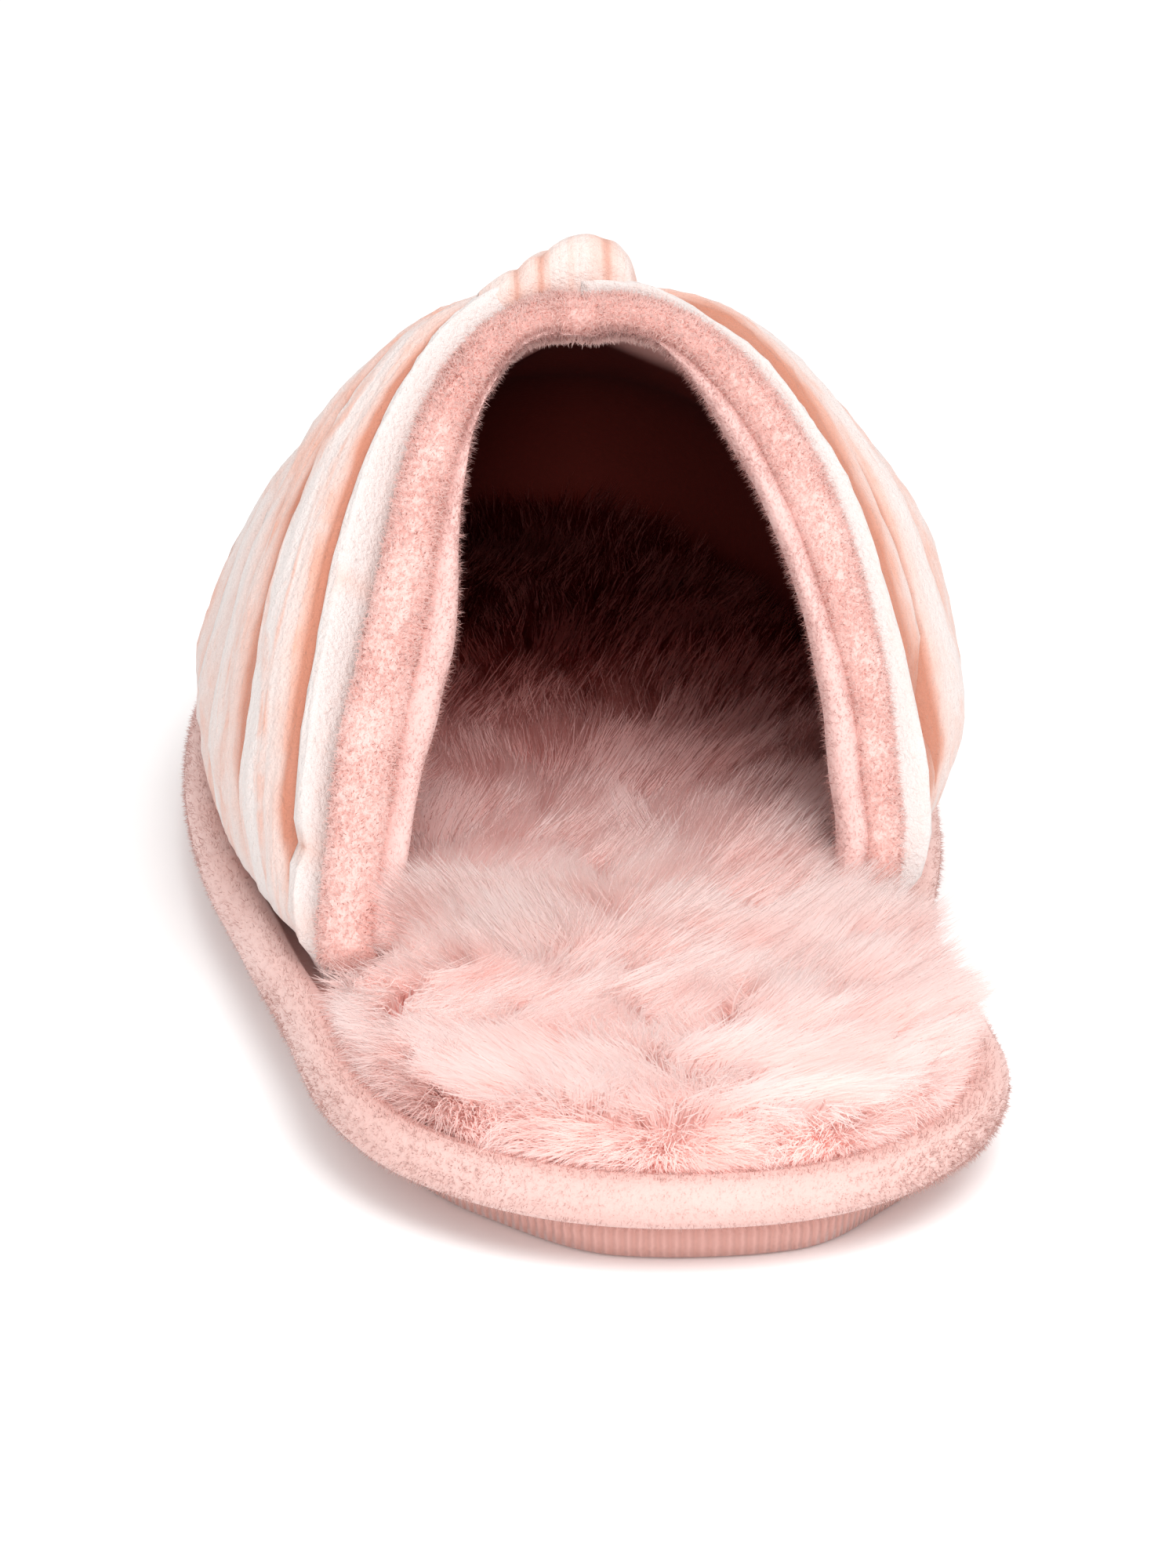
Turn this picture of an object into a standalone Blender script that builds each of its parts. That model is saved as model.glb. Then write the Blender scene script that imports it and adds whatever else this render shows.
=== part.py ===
"""Left scuff slipper: fabric-wrapped sole, fur footbed and a padded velvet vamp gathered under a band.

+Y runs from the heel to the toe, +X to the big-toe side and +Z up. The sole stands on z = 0 and the
origin is under the middle of the sole's outline. Sizes are in metres. The functions measure y from
the heel's back, and the finished pieces are moved to the origin together.
"""

import math
import random
from collections import namedtuple
from functools import lru_cache

import bmesh
import bpy
import numpy as np
from mathutils import Vector
from mathutils.bvhtree import BVHTree

# Sole outline
SOLE_LENGTH = 0.260
BALL_WIDTH = 0.098
HEEL_ROUND = 0.044
HEEL_FULLNESS = 2.15
TOE_ROUND = 0.080
TOE_FULLNESS = 2.35
TOE_SPRING = 0.004
FLAT_LENGTH = 0.180

# Outsole and the wrapped footbed above it
OUTSOLE_THICKNESS = 0.0044
OUTSOLE_INSET = 0.0042
OUTSOLE_EDGE = 0.0010
BEAD_WIDTH = 0.0060
BEAD_HEIGHT = 0.0056
FOOTBED_RECESS = 0.0020

# Fur insole
PILE_HEIGHT = 0.0085
TOE_PILE_HEIGHT = 0.0055
LOCK_LENGTH = 0.018
LOCK_WIDTH = 0.0085
LOCK_HEIGHT = 0.0026
LOCK_SPACING = 0.0115
PAD_EASE = 0.0020

# Vamp
COLLAR_FOOT_LATERAL = 0.068
COLLAR_FOOT_MEDIAL = 0.080
THROAT_SETBACK = 0.126
THROAT_HEIGHT = 0.0775
VAMP_WALL = 0.0036
VAMP_TOE_ROUND = 0.034
LATERAL_BULGE = 0.0010
MEDIAL_BULGE = 0.0080
RIDGE_SWAY = 0.0045
COLLAR_FULLNESS = 2.4
SHOULDER_FULLNESS = 2.9
FOLD_HEIGHT = 0.0026
COLLAR_STRIP = 0.0060

# Collar roll and the band that gathers the pleats
ROLL_WIDTH = 0.0090
ROLL_DEPTH = 0.0066
ROLL_TUCK = 0.42
BAND_LENGTH = 0.044
BAND_WIDTH = 0.0185
BAND_THICKNESS = 0.0048
BAND_SPREAD = 0.75

# Room between pieces that touch
PIECE_GAP = 0.0003

# Mesh fineness
RIM_POINTS = 72
DROP_STEPS = 12
ROLL_SIDES = 10
SEED = 7

OutlineRow = namedtuple("OutlineRow", "along centre half")
# along is a share of SOLE_LENGTH; centre and half width are shares of BALL_WIDTH
OUTLINE = (
    OutlineRow(0.00, 0.054, 0.393),
    OutlineRow(0.17, 0.030, 0.397),
    OutlineRow(0.31, -0.004, 0.420),
    OutlineRow(0.43, 0.001, 0.474),
    OutlineRow(0.56, 0.007, 0.499),
    OutlineRow(0.67, 0.015, 0.494),
    OutlineRow(0.80, 0.030, 0.458),
    OutlineRow(1.00, 0.055, 0.405),
)

RidgeRow = namedtuple("RidgeRow", "along rise")
# along is a share of the way from the throat to the toe; rise is a share of the throat's rise
RIDGE = (
    RidgeRow(0.00, 1.00),
    RidgeRow(0.20, 0.93),
    RidgeRow(0.45, 0.76),
    RidgeRow(0.75, 0.54),
    RidgeRow(1.00, 0.41),
)

FoldRow = namedtuple("FoldRow", "start lateral medial")
# start is a share of the way from the collar strip to the toe; the rest are shares of FOLD_HEIGHT
FOLDS = (
    FoldRow(0.000, 0.85, 2.00),
    FoldRow(0.115, 1.25, 1.25),
    FoldRow(0.210, 0.90, 1.45),
    FoldRow(0.330, 1.20, 0.95),
    FoldRow(0.430, 0.80, 1.10),
    FoldRow(0.545, 1.05, 0.80),
    FoldRow(0.650, 0.75, 0.95),
    FoldRow(0.765, 0.85, 0.75),
    FoldRow(0.880, 0.60, 0.60),
)

LipRow = namedtuple("LipRow", "phase height")
# phase is a share of a fold's width from its crease; height is a share of the fold's height
FOLD_LIP = (
    LipRow(0.00, 0.00),
    LipRow(0.10, 0.95),
    LipRow(0.36, 0.90),
    LipRow(0.70, 0.45),
)

FOOTBED_BASE = OUTSOLE_THICKNESS + PIECE_GAP
BEAD_TOP = FOOTBED_BASE + BEAD_HEIGHT
FOOTBED_FLOOR = BEAD_TOP - FOOTBED_RECESS
VAMP_BASE = FOOTBED_FLOOR + PIECE_GAP
VAMP_INSET = BEAD_WIDTH + 3 * PIECE_GAP
THROAT_RISE = THROAT_HEIGHT - VAMP_BASE


def table_value(rows, column, along):
    """One column of a table at any place along it, by a smooth curve through the rows."""
    places = np.array([row.along for row in rows])
    values = np.array([getattr(row, column) for row in rows])
    slopes = np.gradient(values, places)
    along = min(max(along, places[0]), places[-1])
    k = min(int(np.searchsorted(places, along, side="right")) - 1, len(rows) - 2)
    step = places[k + 1] - places[k]
    s = (along - places[k]) / step
    rise = values[k + 1] - values[k]
    bend = slopes[k] * step - rise
    sway = rise - slopes[k + 1] * step
    return float(values[k] + s * rise + s * (1 - s) * ((1 - s) * bend + s * sway))


def end_rounding(distance, length, fullness=TOE_FULLNESS):
    """Grows from 0 at the tip of a rounded end to 1 where the end begins."""
    left = 1 - min(max(distance / length, 0.0), 1.0)
    return (1 - left**fullness) ** (1 / fullness)


def smooth_step(value):
    """Eases from 0 to 1 as value goes from 0 to 1."""
    s = min(max(value, 0.0), 1.0)
    return s * s * (3 - 2 * s)


def outline_point(turn):
    """Point of the sole's outline. turn goes from 0 to 1, from the heel up the lateral side and back."""
    share = (1 - math.cos(2 * math.pi * turn)) / 2
    y = share * SOLE_LENGTH
    centre = table_value(OUTLINE, "centre", share) * BALL_WIDTH
    half = table_value(OUTLINE, "half", share) * BALL_WIDTH
    half *= end_rounding(y, HEEL_ROUND, HEEL_FULLNESS) * end_rounding(SOLE_LENGTH - y, TOE_ROUND)
    side = -1 if turn % 1.0 < 0.5 else 1
    return np.array((centre + side * half, y))


def rim_point(turn, inset):
    """Point of the outline moved inwards by inset."""
    nudge = 1e-3
    along = outline_point(turn + nudge) - outline_point(turn - nudge)
    inwards = np.array((along[1], -along[0])) / np.linalg.norm(along)
    return outline_point(turn) + inset * inwards


def toe_lift(y):
    """How far the sole has left the floor at y."""
    beyond = max(0.0, y - FLAT_LENGTH) / (SOLE_LENGTH - FLAT_LENGTH)
    return TOE_SPRING * beyond**2


def rim_ring(inset, height):
    """Closed ring of points along the outline. inset and height may change with the turn."""
    ring = []
    for k in range(RIM_POINTS):
        turn = k / RIM_POINTS
        x, y = rim_point(turn, inset(turn) if callable(inset) else inset)
        z = height(y) if callable(height) else height
        ring.append(Vector((x, y, z + toe_lift(y))))
    return ring


def ring_stack(rings):
    """Closed mesh through rings of equal count, with rungs across the first and the last."""
    mesh = bmesh.new()
    rows = [[mesh.verts.new(point) for point in ring] for ring in rings]
    count = len(rows[0])
    for low, high in zip(rows, rows[1:]):
        for k in range(count):
            after = (k + 1) % count
            mesh.faces.new((low[k], high[k], high[after], low[after]))
    for row, top in ((rows[0], False), (rows[-1], True)):
        for k in range(count // 2):
            rung = [row[k], row[k + 1], row[count - k - 1], row[-k % count]]
            corners = list(dict.fromkeys(rung))
            mesh.faces.new(corners[::-1] if top else corners)
    return mesh


def material(name, colour, roughness):
    """Plain fabric finish."""
    finish = bpy.data.materials.new(name)
    finish.use_nodes = True
    shader = finish.node_tree.nodes["Principled BSDF"]
    shader.inputs["Base Color"].default_value = (*colour, 1.0)
    shader.inputs["Roughness"].default_value = roughness
    shader.inputs["Metallic"].default_value = 0.0
    return finish


def add_piece(name, mesh, finish, smooth=True):
    """Makes a named object from a bmesh, in the slipper's collection."""
    bmesh.ops.recalc_face_normals(mesh, faces=mesh.faces)
    data = bpy.data.meshes.new(name)
    mesh.to_mesh(data)
    mesh.free()
    if smooth:
        data.shade_smooth()
        data.set_sharp_from_angle(angle=math.radians(40))
    data.materials.append(finish)
    piece = bpy.data.objects.new(name, data)
    bpy.data.collections["scuff_slipper"].objects.link(piece)
    return piece


def make_outsole():
    """Flat fabric-faced outsole, set in under the wrapped footbed."""
    rings = [
        rim_ring(OUTSOLE_INSET + OUTSOLE_EDGE, 0.0),
        rim_ring(OUTSOLE_INSET, OUTSOLE_EDGE),
        rim_ring(OUTSOLE_INSET, OUTSOLE_THICKNESS),
    ]
    finish = material("outsole_rib_knit", (0.56, 0.36, 0.33), 0.9)
    return add_piece("outsole", ring_stack(rings), finish)


def make_footbed():
    """Foam footbed wrapped in brushed fabric: a rolled bead round a shallow floor."""
    rings = []
    for degrees in (-90, -50, -15, 20, 55, 90, 125):
        angle = math.radians(degrees)
        inset = BEAD_WIDTH / 2 * (1 - math.cos(angle))
        height = FOOTBED_BASE + BEAD_HEIGHT / 2 * (1 + math.sin(angle))
        rings.append(rim_ring(inset, height))
    rings.append(rim_ring(BEAD_WIDTH, FOOTBED_FLOOR))
    finish = material("wrap_brushed_pink", (0.80, 0.55, 0.51), 0.85)
    return add_piece("wrapped_footbed", ring_stack(rings), finish)


@lru_cache(maxsize=None)
def feather_line():
    """Fine run of points where the vamp's outer face meets the footbed, as turns, x and y."""
    turns = np.linspace(0.0, 1.0, 721)
    points = np.array([rim_point(turn, VAMP_INSET) for turn in turns])
    return turns, points[:, 0], points[:, 1]


def feather_turn(y, medial):
    """The turn at which the feather line passes y on one side."""
    turns, _, ys = feather_line()
    middle = len(turns) // 2
    if medial:
        return float(np.interp(y, ys[middle:][::-1], turns[middle:][::-1]))
    return float(np.interp(y, ys[: middle + 1], turns[: middle + 1]))


def width_at(y):
    """Lateral and medial x of the feather line at y."""
    _, xs, ys = feather_line()
    middle = len(xs) // 2
    lateral = float(np.interp(y, ys[: middle + 1], xs[: middle + 1]))
    medial = float(np.interp(y, ys[middle:][::-1], xs[middle:][::-1]))
    return lateral, medial


@lru_cache(maxsize=None)
def feather_run(medial):
    """The feather line from the collar's foot to the toe's tip on one side, with lengths as shares."""
    turns, xs, ys = feather_line()
    foot = COLLAR_FOOT_MEDIAL if medial else COLLAR_FOOT_LATERAL
    start = feather_turn(foot, medial)
    steps = np.linspace(start, 0.5, 241)
    run = np.column_stack((np.interp(steps, turns, xs), np.interp(steps, turns, ys)))
    lengths = np.concatenate(([0.0], np.cumsum(np.linalg.norm(np.diff(run, axis=0), axis=1))))
    return lengths / lengths[-1], run, lengths[-1]


def feather_point(fan):
    """Where the vamp's fold number fan meets the footbed."""
    medial = fan > 0.5
    shares, run, _ = feather_run(medial)
    share = 2 * (1 - fan if medial else fan)
    return np.array((np.interp(share, shares, run[:, 0]), np.interp(share, shares, run[:, 1])))


def vamp_rise(y):
    """Height of the vamp's ridge above its foot at y, rounded down at the toe."""
    tip = SOLE_LENGTH - VAMP_INSET
    along = (y - THROAT_SETBACK) / (tip - THROAT_SETBACK)
    return THROAT_RISE * table_value(RIDGE, "rise", along) * end_rounding(tip - y, VAMP_TOE_ROUND)


def ridge_point(fan):
    """Start of fold number fan: along the band, and at the band's tip for the folds round the toe."""
    share = math.sin(math.pi / 2 * min(1.0, 2 * min(fan, 1 - fan) / BAND_SPREAD))
    y = THROAT_SETBACK + BAND_LENGTH * share
    return np.array((sum(width_at(y)) / 2 + RIDGE_SWAY * share, y))


def vamp_point(fan, drop):
    """Smooth outer form of the vamp. fan goes from 0 to 1 round the sole from collar foot to collar
    foot, and drop from 0 at the ridge to 1 at the footbed."""
    top = ridge_point(fan)
    foot = feather_point(fan)
    share = 2 * min(fan, 1 - fan)
    out = math.sin(drop * math.pi / 2)
    lean = smooth_step(share / 0.7)
    ahead = (1 - lean) * (1 - math.cos(drop * math.pi / 2)) + lean * out
    x, y = top + (foot - top) * (out, ahead)
    fullness = COLLAR_FULLNESS + (SHOULDER_FULLNESS - COLLAR_FULLNESS) * smooth_step(share / 0.3)
    side = vamp_rise(top[1]) * (1 - out**fullness) ** 0.5
    front = vamp_rise(top[1] + (SOLE_LENGTH - VAMP_INSET - top[1]) * out)
    z = VAMP_BASE + (1 - lean) * side + lean * front
    level = min(1.0, max(0.0, (z - BEAD_TOP) / vamp_rise(top[1])))
    bulge = LATERAL_BULGE + (MEDIAL_BULGE - LATERAL_BULGE) * smooth_step((fan - 0.35) / 0.45)
    bulge *= smooth_step(0.3 + share / 0.3) * math.sin(math.pi * level**0.8)
    push = (foot - top) / np.linalg.norm(foot - top) * bulge
    return Vector((x + push[0], y + push[1], z + toe_lift(y)))


def fan_columns():
    """The folds' lines across the vamp, as (fan, height of the fold there) from foot to foot."""
    strip = 2 * COLLAR_STRIP / (feather_run(False)[2] + feather_run(True)[2])
    lateral = [(0.0, 0.0)]
    medial = [(1.0, 0.0)]
    ends = [fold.start for fold in FOLDS[1:]] + [1.0]
    for fold, end in zip(FOLDS, ends):
        for row in FOLD_LIP:
            share = strip + (1 - strip) * (fold.start + (end - fold.start) * row.phase)
            lateral.append((share / 2, fold.lateral * row.height))
            medial.append((1 - share / 2, fold.medial * row.height))
    return lateral + [(0.5, 0.0)] + medial[::-1]


def fold_swell(drop):
    """How far the folds stand open down the vamp: flat under the band and at the seam."""
    return smooth_step((drop - 0.12) / 0.25) * (1 - smooth_step((drop - 0.8) / 0.2))


def make_vamp():
    """Hollow padded vamp: a smooth inner face, and an outer face stepped by the folds."""
    columns = fan_columns()
    drops = [row / DROP_STEPS for row in range(DROP_STEPS + 1)]
    mesh = bmesh.new()
    grid = [[mesh.verts.new(vamp_point(fan, drop)) for drop in drops] for fan, _ in columns]
    swell = {}
    foot = set()
    for column, (_, height) in zip(grid, columns):
        for vert, drop in zip(column, drops):
            swell[vert] = FOLD_HEIGHT * height * fold_swell(drop)
        foot.add(column[-1])
    for one, other in zip(grid, grid[1:]):
        for k in range(DROP_STEPS):
            mesh.faces.new((one[k], other[k], other[k + 1], one[k + 1]))
    ridge = [column[0] for column in grid]
    bmesh.ops.weld_verts(mesh, targetmap=ridge_pairs(ridge))
    bmesh.ops.dissolve_degenerate(mesh, dist=1e-7, edges=mesh.edges)
    bmesh.ops.recalc_face_normals(mesh, faces=mesh.faces)
    mesh.normal_update()
    if sum(face.normal.z for face in mesh.faces) < 0:
        bmesh.ops.reverse_faces(mesh, faces=mesh.faces)
        mesh.normal_update()

    outer = list(mesh.verts)
    border = [edge for edge in mesh.edges if edge.is_boundary]
    faces = list(mesh.faces)
    inner = {vert: mesh.verts.new(vert.co - vert.normal * VAMP_WALL) for vert in outer}
    for vert in outer:
        vert.co += vert.normal * swell[vert]
    for vert in foot:
        if vert.is_valid:
            level = VAMP_BASE + toe_lift(vert.co.y)
            vert.co.z = level
            inner[vert].co.z = level
    for face in faces:
        mesh.faces.new([inner[vert] for vert in reversed(face.verts)])
    for edge in border:
        a, b = edge.verts
        mesh.faces.new((a, b, inner[b], inner[a]))
    finish = material("velvet_blush", (0.90, 0.72, 0.66), 0.7)
    return add_piece("vamp", mesh, finish)


def ridge_pairs(ridge):
    """Each ridge vertex of the medial side welded to the lateral one at the same place."""
    pairs = {}
    kept = []
    for vert in ridge:
        twin = next((other for other in kept if (other.co - vert.co).length < 1e-5), None)
        if twin is None:
            kept.append(vert)
        else:
            pairs[vert] = twin
    return pairs


def collar_frames():
    """Points along the collar's edge with the directions across the wall and towards the toe."""
    frames = []
    nudge = 0.004
    for fan, inward in ((0.0, nudge), (1.0, -nudge)):
        side = []
        for row in range(DROP_STEPS + 1):
            drop = row / DROP_STEPS
            point = vamp_point(fan, drop)
            along = vamp_point(fan, min(1.0, drop + 0.02)) - vamp_point(fan, max(0.0, drop - 0.02))
            if row == 0:
                along = vamp_point(0.0, 0.02) - vamp_point(1.0, 0.02)
                if fan == 1.0:
                    along = -along
            toeward = vamp_point(fan + inward, drop) - point
            toeward -= along * (toeward.dot(along) / along.length_squared)
            toeward.normalize()
            across = along.cross(toeward).normalized()
            if across.z + across.x * (point.x - ridge_point(fan)[0]) < 0:
                across = -across
            side.append((point, across, toeward, 1 - ROLL_TUCK * smooth_step((drop - 0.8) / 0.2)))
        frames.append(side)
    return frames[0][::-1] + frames[1][1:]


def make_collar_roll():
    """Plush roll bound round the vamp's edge, from foot to foot, tucked in beside the bead."""
    rings = []
    for point, across, toeward, fullness in collar_frames():
        middle = point - across * (VAMP_WALL / 2) - toeward * (ROLL_DEPTH / 2 + PIECE_GAP)
        ring = []
        for k in range(ROLL_SIDES):
            angle = 2 * math.pi * k / ROLL_SIDES
            spot = middle + across * (ROLL_WIDTH / 2 * fullness * math.cos(angle))
            spot += toeward * (ROLL_DEPTH / 2 * math.sin(angle))
            spot.z = max(spot.z, VAMP_BASE)
            ring.append(spot)
        rings.append(ring)
    finish = material("collar_plush", (0.80, 0.52, 0.49), 0.95)
    return add_piece("collar_roll", tube(rings), finish)


def tube(rings):
    """Closed tube through rings of equal count, with a flat cap at each end."""
    mesh = bmesh.new()
    rows = [[mesh.verts.new(point) for point in ring] for ring in rings]
    for low, high in zip(rows, rows[1:]):
        for k in range(len(low)):
            after = (k + 1) % len(low)
            mesh.faces.new((low[k], high[k], high[after], low[after]))
    mesh.faces.new(rows[0])
    mesh.faces.new(rows[-1][::-1])
    return mesh


def make_band(vamp):
    """Soft band over the ridge, from the collar forwards, that holds the folds' gathers."""
    points_across = 9
    steps = 14
    skin = BVHTree.FromPolygons(
        [vert.co for vert in vamp.data.vertices], [face.vertices[:] for face in vamp.data.polygons]
    )
    above = Vector((0, 0, 2 * THROAT_HEIGHT))
    rings = []
    for step in range(steps + 1):
        along = (step / steps) ** 0.8
        end = end_rounding(1 - along, 0.35)
        half = BAND_WIDTH / 2 * (0.3 + 0.7 * end)
        y = THROAT_SETBACK + PIECE_GAP + BAND_LENGTH * along
        middle = sum(width_at(y)) / 2 + RIDGE_SWAY * along
        low = []
        high = []
        for k in range(points_across):
            across = 2 * k / (points_across - 1) - 1
            place = Vector((middle + half * across, y, 0))
            base = skin.ray_cast(place + above, Vector((0, 0, -1)))[0] + Vector((0, 0, 3 * PIECE_GAP))
            crown = BAND_THICKNESS * (0.2 + 0.8 * end) * (0.3 + 0.7 * (1 - across**2) ** 0.5)
            low.append(base)
            high.append(base + Vector((0, 0, crown)))
        rings.append(low + high[::-1])
    finish = material("velvet_band", (0.92, 0.76, 0.70), 0.7)
    return add_piece("gather_band", tube(rings), finish)


def insole_inset(turn):
    """Inset of the fur pad: up to the bead at the heel, inside the roll's feet, then inside the vamp."""
    y = outline_point(turn)[1]
    foot = COLLAR_FOOT_LATERAL if turn < 0.5 else COLLAR_FOOT_MEDIAL
    easing = 0.008
    behind_roll = foot - ROLL_DEPTH - 5 * PIECE_GAP - easing
    inside_vamp = VAMP_WALL + PAD_EASE
    past_roll = (ROLL_WIDTH + VAMP_WALL) / 2 + 3 * PIECE_GAP
    enter = smooth_step((y - behind_roll) / easing)
    leave = smooth_step((y - foot - ROLL_DEPTH) / easing)
    return VAMP_INSET + past_roll * enter + (inside_vamp - past_roll) * leave


def pile_height(y):
    """Height of the fur above the footbed's floor, lower towards the toe."""
    share = smooth_step((y - THROAT_SETBACK) / (SOLE_LENGTH - THROAT_SETBACK))
    return PILE_HEIGHT + (TOE_PILE_HEIGHT - PILE_HEIGHT) * share


def make_insole():
    """Fur pad: a crowned pad with locks of pile fused on."""
    PadRow = namedtuple("PadRow", "extra_inset height")
    # extra_inset in metres from the pad's edge; height is a share of the pile
    profile = (
        PadRow(0.0000, 0.00),
        PadRow(0.0000, 0.45),
        PadRow(0.0012, 0.75),
        PadRow(0.0040, 0.93),
        PadRow(0.0110, 1.00),
    )
    rings = []
    for row in profile:
        rings.append(
            rim_ring(
                lambda turn, row=row: insole_inset(turn) + row.extra_inset,
                lambda y, row=row: VAMP_BASE + row.height * pile_height(y),
            )
        )
    finish = material("fur_pale_pink", (0.90, 0.70, 0.67), 0.95)
    pad = add_piece("fur_insole", ring_stack(rings), finish, smooth=False)
    locks = add_piece("insole_locks", make_locks(), finish, smooth=False)
    join = pad.modifiers.new("fuse_locks", "BOOLEAN")
    join.operation = "UNION"
    join.solver = "EXACT"
    join.use_self = True
    join.object = locks
    bpy.context.view_layer.update()
    fused = bpy.data.meshes.new_from_object(pad.evaluated_get(bpy.context.evaluated_depsgraph_get()))
    pad.modifiers.clear()
    pad.data = fused
    bpy.data.objects.remove(locks)
    return pad


def make_locks():
    """Tapered locks of fur in rows, combed towards the heel and out to the sides."""
    chance = random.Random(SEED)
    mesh = bmesh.new()
    margin = LOCK_WIDTH * 1.15
    first = VAMP_INSET + LOCK_LENGTH / 2
    last = SOLE_LENGTH - insole_inset(0.5) - LOCK_LENGTH * 0.75
    rows = int((last - first) / LOCK_SPACING)
    for row in range(rows + 1):
        y = first + (last - first) * row / rows
        turns = [feather_turn(y, medial) for medial in (False, True)]
        edges = [rim_point(turn, insole_inset(turn) + margin)[0] for turn in turns]
        count = int((edges[1] - edges[0]) / LOCK_SPACING)
        for k in range(count):
            x = edges[0] + (edges[1] - edges[0]) * (k + 0.5 * (1 + row % 2)) / (count + 0.5)
            spot = Vector((x + chance.uniform(-1, 1) * LOCK_SPACING / 6, y, 0))
            swirl = 0.3 * math.sin(0.8 * row + 1.7 * k) + chance.uniform(-0.15, 0.15)
            sideways = (x - sum(width_at(y)) / 2) / BALL_WIDTH * 1.8
            add_lock(mesh, spot, math.atan2(sideways + swirl, -1.0), chance.uniform(0.85, 1.1))
    return mesh


def add_lock(mesh, root, heading, size):
    """One lock: three rings that narrow and sink to a tip."""
    LockRow = namedtuple("LockRow", "along width height")
    # along is a share of LOCK_LENGTH, width of LOCK_WIDTH, height of LOCK_HEIGHT above the pad
    profile = (LockRow(0.0, 0.55, 0.0), LockRow(0.38, 1.0, 1.0), LockRow(0.78, 0.6, 0.85))
    sides = 5
    ahead = Vector((math.sin(heading), math.cos(heading), 0))
    aside = Vector((ahead.y, -ahead.x, 0))
    level = VAMP_BASE + toe_lift(root.y) + pile_height(root.y)
    rings = []
    for row in profile:
        ring = []
        for k in range(sides):
            angle = 2 * math.pi * (k + 0.25) / sides
            spot = root + ahead * (LOCK_LENGTH * size * (row.along - 0.5))
            spot += aside * (LOCK_WIDTH * size / 2 * row.width * math.cos(angle))
            spot.z = level + LOCK_HEIGHT * (row.height - 1 + math.sin(angle))
            ring.append(mesh.verts.new(spot))
        rings.append(ring)
    tip = mesh.verts.new(root + ahead * (LOCK_LENGTH * size / 2) + Vector((0, 0, level - LOCK_HEIGHT / 3)))
    for low, high in zip(rings, rings[1:]):
        for k in range(sides):
            after = (k + 1) % sides
            mesh.faces.new((low[k], low[after], high[after], high[k]))
    for k in range(sides):
        mesh.faces.new((rings[-1][k], rings[-1][(k + 1) % sides], tip))
    mesh.faces.new(rings[0][::-1])


def main():
    """Builds every piece and moves the slipper so that its middle stands on the origin."""
    for thing in list(bpy.data.objects):
        bpy.data.objects.remove(thing)
    collection = bpy.data.collections.new("scuff_slipper")
    bpy.context.scene.collection.children.link(collection)
    vamp = make_vamp()
    pieces = [
        make_outsole(),
        make_footbed(),
        make_insole(),
        vamp,
        make_collar_roll(),
        make_band(vamp),
    ]
    points = np.array([vert.co[:2] for piece in pieces for vert in piece.data.vertices])
    middle = (points.min(axis=0) + points.max(axis=0)) / 2
    for piece in pieces:
        piece.location = (-middle[0], -middle[1], 0)


main()
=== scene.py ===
import math

import bmesh
import bpy
import numpy as np
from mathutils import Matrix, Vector


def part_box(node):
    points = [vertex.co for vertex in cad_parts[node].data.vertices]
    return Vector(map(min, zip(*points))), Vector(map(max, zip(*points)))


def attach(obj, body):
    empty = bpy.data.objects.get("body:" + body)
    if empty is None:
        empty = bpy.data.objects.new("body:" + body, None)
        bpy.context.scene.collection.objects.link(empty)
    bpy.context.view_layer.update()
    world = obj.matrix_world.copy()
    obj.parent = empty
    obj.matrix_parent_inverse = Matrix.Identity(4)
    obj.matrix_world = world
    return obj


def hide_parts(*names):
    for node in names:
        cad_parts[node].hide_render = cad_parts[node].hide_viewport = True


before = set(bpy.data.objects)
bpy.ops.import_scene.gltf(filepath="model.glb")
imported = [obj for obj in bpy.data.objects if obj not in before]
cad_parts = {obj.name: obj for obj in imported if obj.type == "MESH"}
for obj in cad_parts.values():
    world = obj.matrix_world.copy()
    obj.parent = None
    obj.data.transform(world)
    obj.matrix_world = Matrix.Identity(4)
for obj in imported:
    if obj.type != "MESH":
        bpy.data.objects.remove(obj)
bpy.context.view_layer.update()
print("slipper: frame loaded")


# Sizes that every piece shares, measured from the heel's back, in metres
plan = {
    "length": 0.260, "ballWidth": 0.098,
    "heelRound": 0.044, "heelFullness": 2.15, "toeRound": 0.080, "toeFullness": 2.35,
    "toeSpring": 0.004, "flatLength": 0.180, "spineStart": 0.034, "spineEnd": 0.036,
    # share of the length, then centre and half width as shares of the ball width
    "outline": ((0.00, 0.054, 0.393), (0.17, 0.030, 0.397), (0.31, -0.004, 0.420), (0.43, 0.001, 0.474),
                (0.56, 0.007, 0.499), (0.67, 0.015, 0.494), (0.80, 0.030, 0.458), (1.00, 0.055, 0.405)),
}
layers = {
    "outsole": 0.0044, "outsoleInset": 0.0042, "beadWidth": 0.0060, "beadHeight": 0.0056,
    "recess": 0.0020, "gap": 0.0003,
}
bedBase = layers["outsole"] + layers["gap"]
beadTop = bedBase + layers["beadHeight"]
vampBase = beadTop - layers["recess"] + layers["gap"]
vampInset = layers["beadWidth"] + 3 * layers["gap"]
footSink = 0.0002  # how far a cloth's foot may go below the vamp's


def ease(value):
    s = np.clip(value, 0, 1)
    return s * s * (3 - 2 * s)


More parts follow.
